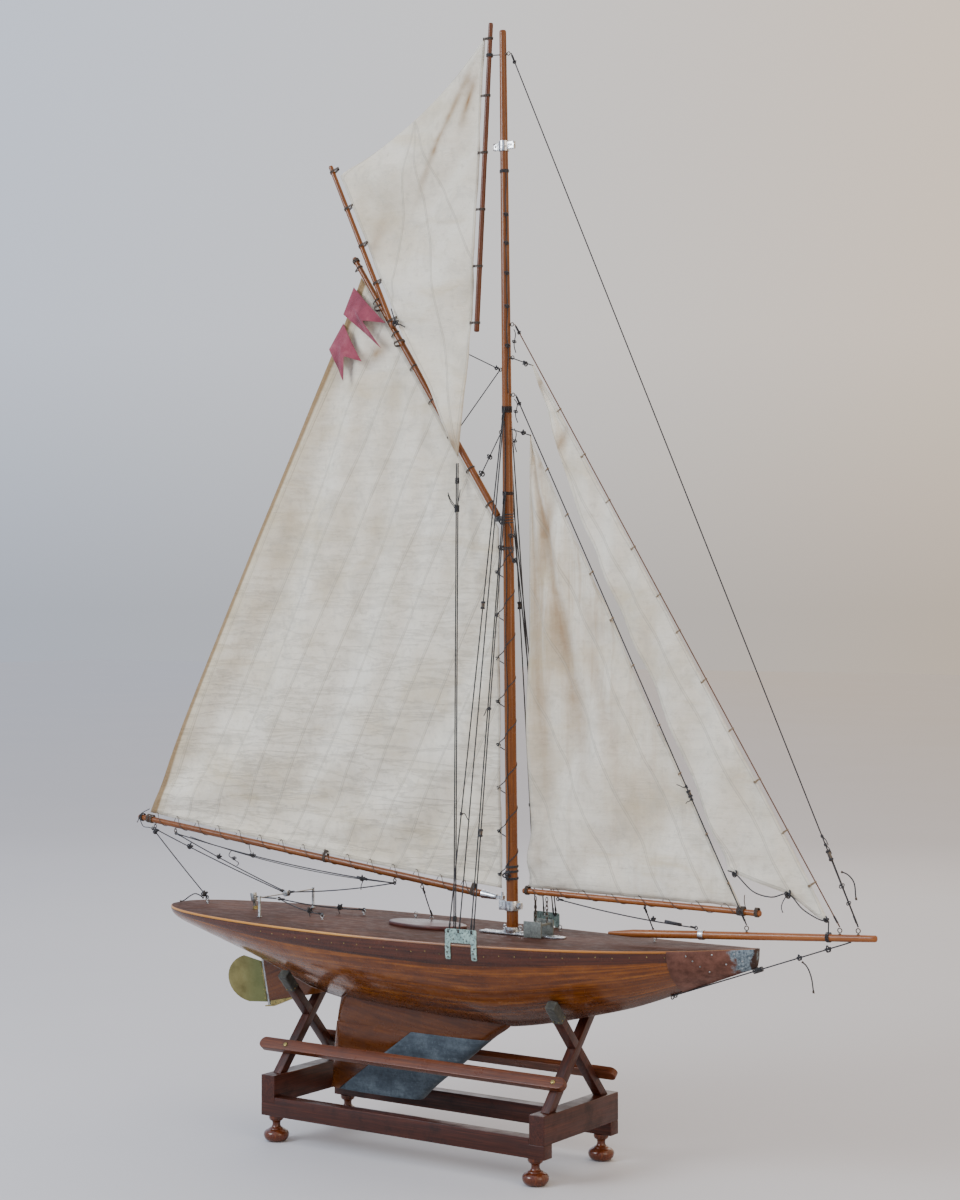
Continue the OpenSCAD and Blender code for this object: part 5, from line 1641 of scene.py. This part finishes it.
top_a, top_b, _ = STAYS["topmast_stay"]
inn_a, inn_b, _ = STAYS["inner_stay"]
bowsie(top_a, top_b, 0.925, 14)
bowsie(inn_a, inn_b, 0.765, 9)
for side in (-1, 1):
    runs = shroud_runs(side)
    bowsie(*runs[0], 0.62, 10)
    bowsie(*runs[3], 0.22, 10)
piece("bowsie_toggles", merged(bow_parts), IRON, "hull", ("bowsies",), sharp=60)

hitches = list(dark_parts)
for a, b, _ in STAYS.values():
    d = (b - a).normalized()
    hitches.append(whipping(a + d * 0.003, a + d * 0.011, LINE_R + 0.0003))
    hitches.append(whipping(b - d * 0.014, b - d * 0.005, LINE_R + 0.0003))
    hitches.append(knot(a + d * 0.013, d, 2.4))
# The topmast stay comes back from the bowsprit's eye to its bowsie, and ends in hitches
side_y = Vector((0, 0.0022, 0))
back = top_a.lerp(top_b, 0.925)
hitches.append(straight(top_b + side_y * 0.4, back + side_y, 0.0007))
hitches.append(knot(top_a.lerp(top_b, 0.957), top_b - top_a, 3.4))
hitches.append(knot(top_a.lerp(top_b, 0.975), top_b - top_a, 2.8))
for t in (0.905, 0.914):
    hitches += bend(top_a.lerp(top_b, t), top_b - top_a, (0.8, 0.3, -0.6), LINE_R, 8, 5)
# The inner stay's hitch, half way down the staysail's luff
hitches += bend(inn_a.lerp(inn_b, 0.752), inn_b - inn_a, (-0.95, -0.3, 0.12), LINE_R, 12, -1)
hitches += bend(inn_a.lerp(inn_b, 0.775), inn_b - inn_a, (-0.95, -0.3, -0.3), LINE_R, 7, 3)
# Loose ends below the stays' mast eyes
for x, z, out in ((4.2, 1050, 5), (5, 962, 7), (4.5, 925, 6)):
    y = -mast_r(z) * 0.6
    hitches.append(strand((x, y, z), (x + out, y - 4, z - 7), (x + out * 0.7, y - 5, z - 20),
                          (x + out * 1.1, y - 4, z - 30)))
    hitches.append(knot(at(x + out * 0.75, y - 5, z - 16), UP, 2.6))
# The ring at the inner stay's foot
ring_c = inn_b - (inn_b - inn_a).normalized() * 0.016
hitches.append(eye_ring(ring_c + Vector((0, -0.002, 0)), (0, 1, 0), 0.0030, 0.0006))
piece("stay_hitches", merged(hitches), LINE, "hull")

# ------------------------------------------------------------------ bobstay
bob_a, bob_b = at(231, 0, keel_at(231)), at(459, 0, 314.25)
side_y = Vector((0, 0.0016, 0))
bob_parts = [straight(bob_a + side_y * k, bob_b + side_y * k, rings=24) for k in (-1, 1)]
d = (bob_b - bob_a).normalized()
bob_parts.append(tube(smooth_path(
    [bob_b - side_y, bob_b + d * 0.004 + Vector((0, -0.0014, 0.0002)), bob_b + d * 0.006,
     bob_b + d * 0.004 + Vector((0, 0.0014, 0.0002)), bob_b + side_y], 4)))
piece("bobstay_lines", merged(bob_parts), LINE, "hull", ("bobstay",))
bob_extra = [eye_ring(bob_a - UP * 0.0005, (1, 0, 0), 0.0034, 0.0007),
             knot(bob_a + d * 0.004, d, 3.4), knot(bob_a.lerp(bob_b, 0.90), d, 4.2, 0.0008),
             knot(bob_a.lerp(bob_b, 0.74), d, 3.6, 0.0008),
             whipping(bob_a.lerp(bob_b, 0.48), bob_a.lerp(bob_b, 0.53), 0.0029)]
piece("bobstay_hitches", merged(bob_extra), LINE, "hull")


# ------------------------------------------------------------------ lashings on the spars
def spar_radius(r0, r1, f):
    return (r0 + (r1 - r0) * f) / 1000


def bend_on(a, b, r0, r1, gap, toward, reach, first=0.02, last=0.98, turns=2):
    """Seizings spaced gap millimetres apart on a spar."""
    a, b = Vector(a), Vector(b)
    count = max(int((b - a).length * 1000 * (last - first) / gap), 1)
    out = []
    for k in range(count + 1):
        f = first + (last - first) * k / count
        out.append(seizing(a.lerp(b, f), b - a, toward, spar_radius(r0, r1, f) + 0.0006,
                           reach / 1000, turns))
    return out


def lacing(a, b, r0, r1, gap, toward, reach):
    """One line marling round a spar and the sail's edge."""
    a, b = Vector(a), Vector(b)
    length = (b - a).length * 1000
    turns = length / gap
    w = (b - a).normalized()
    toward = (Vector(toward) - w * Vector(toward).dot(w)).normalized()
    n = w.cross(toward)
    pts = []
    for k in range(int(turns * 18) + 1):
        f = k / (turns * 18)
        angle = math.tau * k / 18
        turn = angle - 0.35 * math.sin(angle)
        r = spar_radius(r0, r1, f) + 0.0006
        out = r + reach / 1000 * max(math.cos(turn), 0) ** 2
        pts.append(a.lerp(b, f) + toward * math.cos(turn) * out + n * math.sin(turn) * r)
    return tube(pts, 0.00045, 7)


lash = []
lash += bend_on(at(*GAFF_THROAT), at(*GAFF_PEAK), 4.3, 3.5, 48, (-1, 0, -0.7), 4.5, 0.05, 0.96)
lash += bend_on(at(*JACK_LOW), at(*JACK_TOP), 3.5, 3.0, 48, (1, 0, 0.5), 7.5, 0.04, 0.96, 3)
lash += bend_on(at(*YARD_LOW), at(*YARD_TOP), 3.5, 3.0, 64, (-1, 0, 0), 7.5, 0.03, 0.95, 3)
lash.append(lacing(at(*boom_at(-604)), at(*boom_at(-52)), 4.2, 4.8, 38, UP, 7.0))
for x in (-618, -612, -300, -60):
    lash.append(seizing(at(*boom_at(x)), BOOM_END - BOOM_START, UP, 0.0050,
                        0.006 if x > -610 else 0.0015, 5, pitch=0.0009))
# The mainsail's peak, and the jackyard, are tied to the gaff
lash.append(seizing(at(-249, 0, 1158), GAFF_PEAK - GAFF_THROAT, (1, 0, 0.6), 0.0041, 0.001, 5,
                    pitch=0.0009))
for f in (0.66, 0.80):
    c = at(*GAFF_THROAT.lerp(GAFF_PEAK, f)) + Vector((0, -0.0045, 0))
    lash.append(seizing(c, GAFF_PEAK - GAFF_THROAT, (0, -1, 0), 0.0072, 0.002, 3, pitch=0.0010))
piece("main_lashings", merged(lash), TWINE, "main_rig")

club_lash = [lacing(at(*CLUB_AFT.lerp(CLUB_FORE, 0.03)), at(*CLUB_AFT.lerp(CLUB_FORE, 0.92)),
                    3.7, 4.0, 40, (0, -0.5, 1), 5.0)]
for f in (0.02, 0.915, 0.93, 0.985):
    club_lash.append(seizing(at(*CLUB_AFT.lerp(CLUB_FORE, f)), (1, 0, 0), UP, 0.0045, 0.002,
                             5, pitch=0.0009))
club_lash += bend(at(*CLUB_AFT.lerp(CLUB_FORE, 0.93)), (1, 0, 0), (0.4, -0.5, 1), 0.0042, 12, -8)
piece("club_lacing", merged(club_lash), TWINE, "staysail_rig")


def hanks(name, grid, stay, count, first, span, y, body):
    """Small rings of twine that hold a headsail's luff to its stay."""
    a, b, _ = STAYS[stay]
    rings = []
    for k in range(count):
        x, z = grid[round((first + span * k / (count - 1)) * (len(grid) - 1)), -1]
        on_stay = a.lerp(b, (at(x, 0, z).z - a.z) / (b.z - a.z))
        gap = on_stay - at(x - 3, y, z)
        rings.append(seizing(on_stay, b - a, -gap, 0.0013, gap.length - 0.001, 2, 0.0004))
    piece(name, merged(rings), PALE_TWINE, body)


hanks("jib_hanks", jib_grid, "jib_stay", 11, 0.06, 0.86, 0, "jib_rig")
hanks("staysail_hanks", stay_grid, "inner_stay", 9, 0.05, 0.88, 3.4, "staysail_rig")

# ------------------------------------------------------------------ running rigging
HORSE_X, HORSE_H, RING_H = -367, 23, 5
HORSE_Z = sheer(HORSE_X) + HORSE_H + RING_H
GUY_EYE, PREVENTER_EYE, CLUB_EYE = (-509, 0, 298), (-150, 34, 297), (189, 30, 300.6)
STEERING_EYES = (("steering_starboard", (-282, -30)), ("steering_port", (-266, 40)))
TOPSAIL_TACK = (-79, TOP_Y, 884)


def blended(name, parts, start, end, material=LINE, stands_for=()):
    """A line as one mesh with no body, its place baked into the mesh. start and end are not used.
    """
    o = piece(name, merged(parts), material, None, stands_for)
    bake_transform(o)


def falls(a, b, sag=0.0):
    """A line with a whipped eye at each end."""
    a, b = Vector(a), Vector(b)
    d = (b - a).normalized()
    return [straight(a, b, sag=sag, rings=22), whipping(a + d * 0.003, a + d * 0.008, 0.0011),
            whipping(b - d * 0.008, b - d * 0.003, 0.0011),
            eye_ring(a, d.cross(UP), 0.0020, 0.0007), eye_ring(b, d.cross(UP), 0.0020, 0.0007)]


def fall(name, a, b, sag=0.0, knots=(), extra=(), stands_for=()):
    """A line with whipped eyes, made through blended(). knots holds (share of the run, axis, size,
    wire).
    """
    tied = [knot(a.lerp(b, t), axis or b - a, size, wire) for t, axis, size, wire in knots]
    blended(name, falls(a, b, sag) + tied + list(extra), a, b, LINE, stands_for)


EYE_END, EYE_AFT, EYE_FORE = -606, -568, -185
THROAT_EYE, PEAK_EYE, JIB_EYE, STAY_EYE, TOP_EYE = 922, 1001, 1015, 925, 1400


def boom_eye(x, dx=0.0, y=0.0):
    bx, by, bz = boom_at(x)
    return at(bx + dx, by + y, bz - 12)


SHEET_AXIS = (1, 0, -0.4)
fall("sheet_after", at(HORSE_X - 3, -1, HORSE_Z), boom_eye(EYE_END, 0, -1), 0.002,
     [(0.72, SHEET_AXIS, 4.2, 0.0009)], stands_for=("main_sheets",))
port_low, port_high = at(HORSE_X - 3, 3, HORSE_Z), boom_eye(EYE_AFT, 0, 1)
low = port_low.lerp(port_high, 0.44)
high = boom_eye(EYE_AFT).lerp(boom_eye(EYE_FORE), 0.27) - UP * 0.0055
link = [tube(smooth_path([low, low + Vector((0.005, -0.003, 0.005)),
                          high - Vector((0.002, 0.003, 0.008)), high], 6), 0.0006, 8),
        knot(low.lerp(high, 0.5) + Vector((0.002, -0.003, 0)), high - low, 3.0, 0.0007)]
fall("sheet_after_port", port_low, port_high, 0.002, [(0.60, SHEET_AXIS, 3.6, 0.0008)], link)
fall("sheet_fore", at(HORSE_X + 4, 1, HORSE_Z + 1), boom_eye(EYE_FORE, -1, 1), 0.003)
fall("boom_guy", at(*GUY_EYE), boom_eye(EYE_END, -5, 0), 0.001,
     [(0.05, None, 4.4, 0.0010), (0.95, None, 3.4, 0.0008)])
fall("boom_preventer", at(*PREVENTER_EYE), boom_eye(-141, 0, 3), 0.001)

# A line under the boom between two of its eyes, with a toggle and hitches
under = [straight(boom_eye(EYE_AFT), boom_eye(EYE_FORE), sag=0.007, rings=30),
         straight(boom_eye(-540, 0, -0.6), boom_eye(EYE_FORE), 0.0006, 0.0092, 30)]
c = boom_eye(EYE_AFT).lerp(boom_eye(EYE_FORE), 0.36) - UP * 0.0065
under += bend(c, (1, 0, -0.1), (0, -0.4, 1), 0.0010, 10, -7)
under.append(knot(c + Vector((0.004, 0, 0)), (1, 0, 0), 3.4, 0.0008))
c = boom_eye(EYE_AFT).lerp(boom_eye(EYE_FORE), 0.86) - UP * 0.0034
under.append(knot(c, (1, 0, 0), 4.0, 0.0009))
under += bend(c, (1, 0, -0.1), (0, -0.3, -1), 0.0010, 9, 6)
under.append(tube([c - Vector((0.008, 0, -0.001)), c + Vector((0.008, 0, -0.001))], 0.0019, 12))
piece("boom_foot_line", merged(under), LINE, "main_rig")
# The clew's outhaul through the boom's end, and its short tail
end_c = at(*boom_at(-630))
out = [seizing(end_c, BOOM_END - BOOM_START, UP, 0.0050, 0.001, 4, pitch=0.0010),
       strand((-616, -1, 415), (-624, -3, 411), (-631, -4.6, 406), (-634, -4.8, 399),
              (-637, -4.4, 395), steps=5),
       strand((-631, -4, 398), (-624, -5, 390), (-610, -6, 389), (-597, -7, 384), steps=5)]
piece("clew_outhaul", merged(out), LINE, "main_rig")

# Luff lacing: one line spirals up the mast and through the luff
luff_by_height = [(z, x) for x, z in LUFF]
turns, low_z, high_z = 7.5, 362.0, 772.0
path = []
for k in range(int(turns * 26) + 1):
    f = k / (turns * 26)
    z = low_z + (high_z - low_z) * f
    a = math.tau * k / 26
    mx = mast_x(z)
    r = mast_r(z) + 0.7
    reach = mx - curve(luff_by_height, z) + 3 - r
    co = math.cos(a)
    x = mx - (r * co + (reach * co ** 6 if co > 0 else 0))
    y = -(r if co < 0.4 else r * (1 - 0.55 * (co - 0.4) / 0.6)) * math.sin(a)
    path.append(at(x, y, z + 3 * math.sin(a)))
lace = [tube(path, 0.00065, 8)]
lace += [knot(path[k], UP, 2.8, 0.0006) for k in range(0, len(path), 26)]
cx = mast_x(high_z)
lace += [collar(high_z, 0, 5, 2.6, start=math.pi),
         knot(at(cx - 7, -5.5, high_z + 3), UP, 4.6, 0.0008),
         strand((cx + 5, -6.6, high_z + 1), (cx + 10, -8, high_z - 9),
                (cx + 17, -8.4, high_z - 15), (cx + 20, -8, high_z - 28),
                (cx + 19.5, -8, high_z - 38), r=0.7),
         knot(at(cx + 15, -8.4, high_z - 13), (1, 0, -1), 3.6, 0.0008)]
blended("luff_lacing", lace, at(-10, 0, 560), at(-22, 0, 560))

# The gaff's throat: jaws lashed to the mast, and its halyard
tx = mast_x(812)
throat = [tube(helix(at(tx, 0, z), at(tx, 0, z + 2.5), (mast_r(z) + 0.8) / 1000, 1.0,
                     start=0.4, per_turn=26), 0.0007, 8) for z in (806, 809.5, 813, 816.5)]
throat += [seizing(at(-17, 0, 812), UP, (-1, 0, 0), 0.0042, 0.006, 5, pitch=0.0014),
           knot(at(-12, -5, 808), UP, 5, 0.0009),
           strand((-1, -7.6, 806), (4, -9, 797), (3, -9.4, 783), (6, -8.6, 768), r=0.7),
           knot(at(4, -9.2, 790), UP, 3.4, 0.0008)]
piece("throat_lashing", merged(throat), LINE, "hull")


def to_gaff(name, hull_point, rig_point, extra):
    blended(name, [straight(hull_point, rig_point, 0.0007, 0, 20)] + extra, hull_point, rig_point)


gaff_mid = GAFF_THROAT.lerp(GAFF_PEAK, 0.135)
g = at(gaff_mid.x, 0, gaff_mid.z) + Vector((0.003, 0, 0.004))
high = at(*mast_at(THROAT_EYE, aft=-mast_r(THROAT_EYE) - 3))
to_gaff("throat_halyard", high, g, [knot(g.lerp(high, 0.08), high - g, 4.2, 0.0008),
                                    knot(g.lerp(high, 0.45), high - g, 3.6, 0.0008)])
# The peak halyard runs from the mast's after eye down to the gaff
peak = GAFF_THROAT.lerp(GAFF_PEAK, 0.30)
p = at(peak.x, 0, peak.z) + Vector((0.003, 0, 0.004))
aft_eye = at(*mast_at(PEAK_EYE, aft=-mast_r(PEAK_EYE) - 4))
to_gaff("peak_halyard", aft_eye, p, [knot(p.lerp(aft_eye, 0.05), aft_eye - p, 3.6, 0.0008)])
hitch = [knot(at(-172.5, -14.5, 1069.5), (1, 0, -1.6), 4.6, 0.0009),
         strand((-172, -15, 1069), (-165, -16, 1067), (-157, -15.5, 1063), r=0.8, steps=5),
         strand((-173, -15, 1071), (-177, -14.5, 1080), (-181, -13.5, 1089), r=0.8, steps=5)]
piece("gaff_hitch", merged(hitch), LINE, "main_rig")
# The topsail's luff is held in to the same eye
luff_in = at(-60.5, TOP_Y, 1022)
to_gaff("topsail_inhaul", aft_eye, luff_in, [knot(aft_eye.lerp(luff_in, 0.12), (1, 0, 0), 3.0)])
yard_tie = at(-29.5, TOP_Y, 1399)
mast_tie = at(*mast_at(TOP_EYE, aft=-mast_r(TOP_EYE) * 0.6))
to_gaff("yard_tie", mast_tie, yard_tie + Vector((0.002, 0.001, 0)),
        [seizing(yard_tie, YARD_TOP - YARD_LOW, (1, 0.3, 0), 0.0038, 0.001, 4, pitch=0.001)])

# A halyard lies up the mast's fore side
pts = []
for k in range(26):
    z = 1252 - 282 * k / 25
    x = mast_x(z)
    pts.append((x + mast_r(z) * 0.75 + 1.2 + 0.8 * math.sin(k * 1.3),
                -mast_r(z) * 0.75 - 0.8 + 0.6 * math.cos(k * 0.9), z))
fore = [strand(*pts, steps=3), collar(1252, -2, 2, 3, 0.6, 0.0006)]
for z in (1196, 1160, 1122, 1080, 1030):
    x = mast_x(z)
    fore.append(knot(at(x + mast_r(z) * 0.75 + 1.2, -mast_r(z) * 0.75 - 0.8, z), UP, 3.2, 0.0007))
# More line down the mast below the hounds, made fast at the gooseneck
pts = []
for k in range(30):
    z = 935 - 580 * k / 29
    x = mast_x(z)
    pts.append((x + 0.5 + math.sin(k * 0.8), -mast_r(z) - 1.0, z))
fore.append(strand(*pts, steps=3))
fore += [collar(z, 0, 3, 2) for z in (372, 366, 357)]
fore.append(knot(at(-3, -9.0, 362), (0, 1, 0), 5.0, 0.0010))
piece("mast_halyards", merged(fore), LINE, "hull")

# Jib halyard and tack
jib_head, jib_tack = at(31, 0, 1003), at(437, 0, 338)
strop = [straight(at(*mast_at(JIB_EYE, aft=mast_r(JIB_EYE) + 2)), jib_head, 0.0007, rings=8),
         knot(jib_head.lerp(at(*mast_at(JIB_EYE)), 0.3), (1, 0, 1), 3.6, 0.0008)]
blended("jib_halyard", strop, at(*mast_at(JIB_EYE, aft=5)), at(30, 0, 1004))
foot_parts = [strand((306, 0, 388), (318, -1, 384), (340, -1.5, 366), (364, -1.5, 361),
                     (386, -1, 366), (404, -0.8, 350), (424, -0.6, 340), (437, 0, 338), r=0.8),
              knot(at(386, -1, 366), (1, 0, -0.4), 5, 0.0011),
              knot(at(316, -1, 385), (1, 0, -0.5), 4, 0.0009),
              strand((384, -2, 364), (380, -3, 357), (378, -3, 350), (380, -3, 344), steps=5),
              knot(at(434, -0.5, 340), (1, 0, 0), 3.6, 0.0009)]
piece("jib_foot_cord", merged(foot_parts), LINE, "jib_rig")
tack = [straight(at(*sprit_at(437, -1, 4.5)), jib_tack, 0.0008, rings=6)]
tack.append(seizing(at(*sprit_at(437)), SPRIT_TIP - SPRIT_HEEL, UP, 0.0051, 0.001, 4,
                    pitch=0.0012))
piece("jib_tack_strop", merged(tack), LINE, "hull")
# Staysail: head strop, tack strop and sheet
strop = [straight(at(*mast_at(STAY_EYE, aft=mast_r(STAY_EYE))), at(25, 3.4, 916), 0.0007, rings=6),
         knot(at(15, 1.7, 920), (1, 0, 0), 3.4, 0.0008)]
blended("staysail_halyard", strop, at(*mast_at(STAY_EYE, aft=5)), at(25, 3.4, 916))

sheet_low, sheet_high = at(*sprit_at(262, 2, 8)), at(64, CLUB_Y, 336)
d = sheet_low.lerp(sheet_high, 0.16)
toggle = tube([d - Vector((0.011, 0, -0.0012)), d + Vector((0.011, 0, -0.0012))], 0.0021, 12)
fall("staysail_sheet_run", sheet_low, sheet_high, 0.003, [(0.30, (1, 0, 0), 3.2, 0.0008)],
     [toggle], ("staysail_sheet",))
fall("club_lanyard", at(*CLUB_EYE), at(CLUB_EYE[0], CLUB_Y, 335))
for k, x in enumerate((30.5, 47.5)):
    low, high = at(x, CLUB_Y, 306), at(x, CLUB_Y, 336.5)
    links = []
    for j in range(6):
        c = low.lerp(high, (j + 0.5) / 6)
        u = Vector((1, 0, 0)) if j % 2 else Vector((0, 1, 0))
        links.append(tube([c + UP * 0.0034 * co + u * 0.0016 * si for co, si in circle(18)],
                          0.00055, 7, True))
    blended(f"club_link_{k}", links, low, high, IRON)

# Topsail tack: a doubled line down to the starboard chainplates
tack_top = at(*TOPSAIL_TACK)
tack_foot = at(-22, -half_beam(-22) + 2, CHAIN_Z)
pair = [straight(tack_foot + Vector((dx, 0, 0)), tack_top + Vector((dx, 0, 0)), rings=26)
        for dx in (-0.0013, 0.0013)]
along = (tack_top - tack_foot).normalized()
for f in (0.90, 0.895):
    pair += bend(tack_foot.lerp(tack_top, f), along, (-0.7, -0.6, 0.9), 0.0022, 15, -9)
pair += bend(tack_foot.lerp(tack_top, 0.905), along, (0.8, -0.5, 1.1), 0.0022, 14, -9)
pair.append(whipping(tack_foot.lerp(tack_top, 0.955), tack_foot.lerp(tack_top, 0.968), 0.0026))
pair.append(whipping(tack_foot.lerp(tack_top, 0.02), tack_foot.lerp(tack_top, 0.03), 0.0026))
blended("topsail_tack", pair, tack_foot, tack_top)

# Steering lines from the tiller to two deck eyes
tiller_lo, tiller_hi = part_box("tiller")
helm = at(tiller_hi.x * 1000 - MAST_X - 3, 0, (tiller_lo.z + tiller_hi.z) * 500)
for name, (x, y) in STEERING_EYES:
    low = at(x, y, deck_z(x, y) + 7)
    tail = bend(low.lerp(helm, 0.30), helm - low, (0, 0.3, -1), 0.0009, 10, 5)
    fall(name, low, helm, 0.003, [(0.28, None, 4.0, 0.0009)], tail)

# ------------------------------------------------------------------ free ends of cord
FREE = {"stay_tail": ((452, 2, 396), (458, 3, 394), (463, 4, 390), (466, 6, 384), (467, 7, 377),
                      (467, 8, 370), (468, 8, 364)),
        "bobstay_tail": ((401, 4, 288), (405, 6, 284), (408, 7, 279), (410, 8, 273),
                         (412, 8, 266), (413, 8, 259), (414, 8, 252)),
        "stern_tail": ((-514, -2, 296), (-519, -4, 300), (-526, -6, 302), (-533, -8, 299),
                       (-538, -10, 295), (-543, -12, 291.5), (-547, -14, 291))}
for name, route in FREE.items():
    pts = smooth_path([at(*q) for q in route], 6)
    o = piece(name + "_line", tube(pts, 0.0008, 12), LINE, "hull", (name,))
    length = sum((b - a).length for a, b in zip(pts, pts[1:]))
    ends = [whipping(pts[-4], pts[-1], 0.00105, 6), whipping(pts[0], pts[2], 0.0011, 4)]
    extra = piece(name + "_whipping", merged(ends), TWINE, "hull")
    at(*route[0])

# ------------------------------------------------------------------ floor and finish
floor_mesh = bpy.data.meshes.new("floor")
floor_mesh.from_pydata([(-20, -20, 0), (20, -20, 0), (20, 20, 0), (-20, 20, 0)], [],
                       [(0, 1, 2, 3)])
floor = bpy.data.objects.new("floor", floor_mesh)
scene.collection.objects.link(floor)
s = Shader("floor_matte", Roughness=0.7)
parts = s.split(s.place)
# Painted light: the floor runs from cool blue-grey on the room's left to warm on its right, the
# tint of the light falling there
painted_light_tint = s.ramp(s.remap(parts[0] * 0.82 + parts[1] * 0.57, -3.5, 3.5), (0, (0.46, 0.51, 0.60)),
              (0.5, (0.52, 0.52, 0.545)), (1, (0.58, 0.51, 0.43)))
cloud = s.remap(s.noise(s.place, scale=1.5), 0.3, 0.7, 0, 0.06)
floor_mesh.materials.append(s.finish(s.mix(cloud, painted_light_tint, (0.70, 0.70, 0.70))))
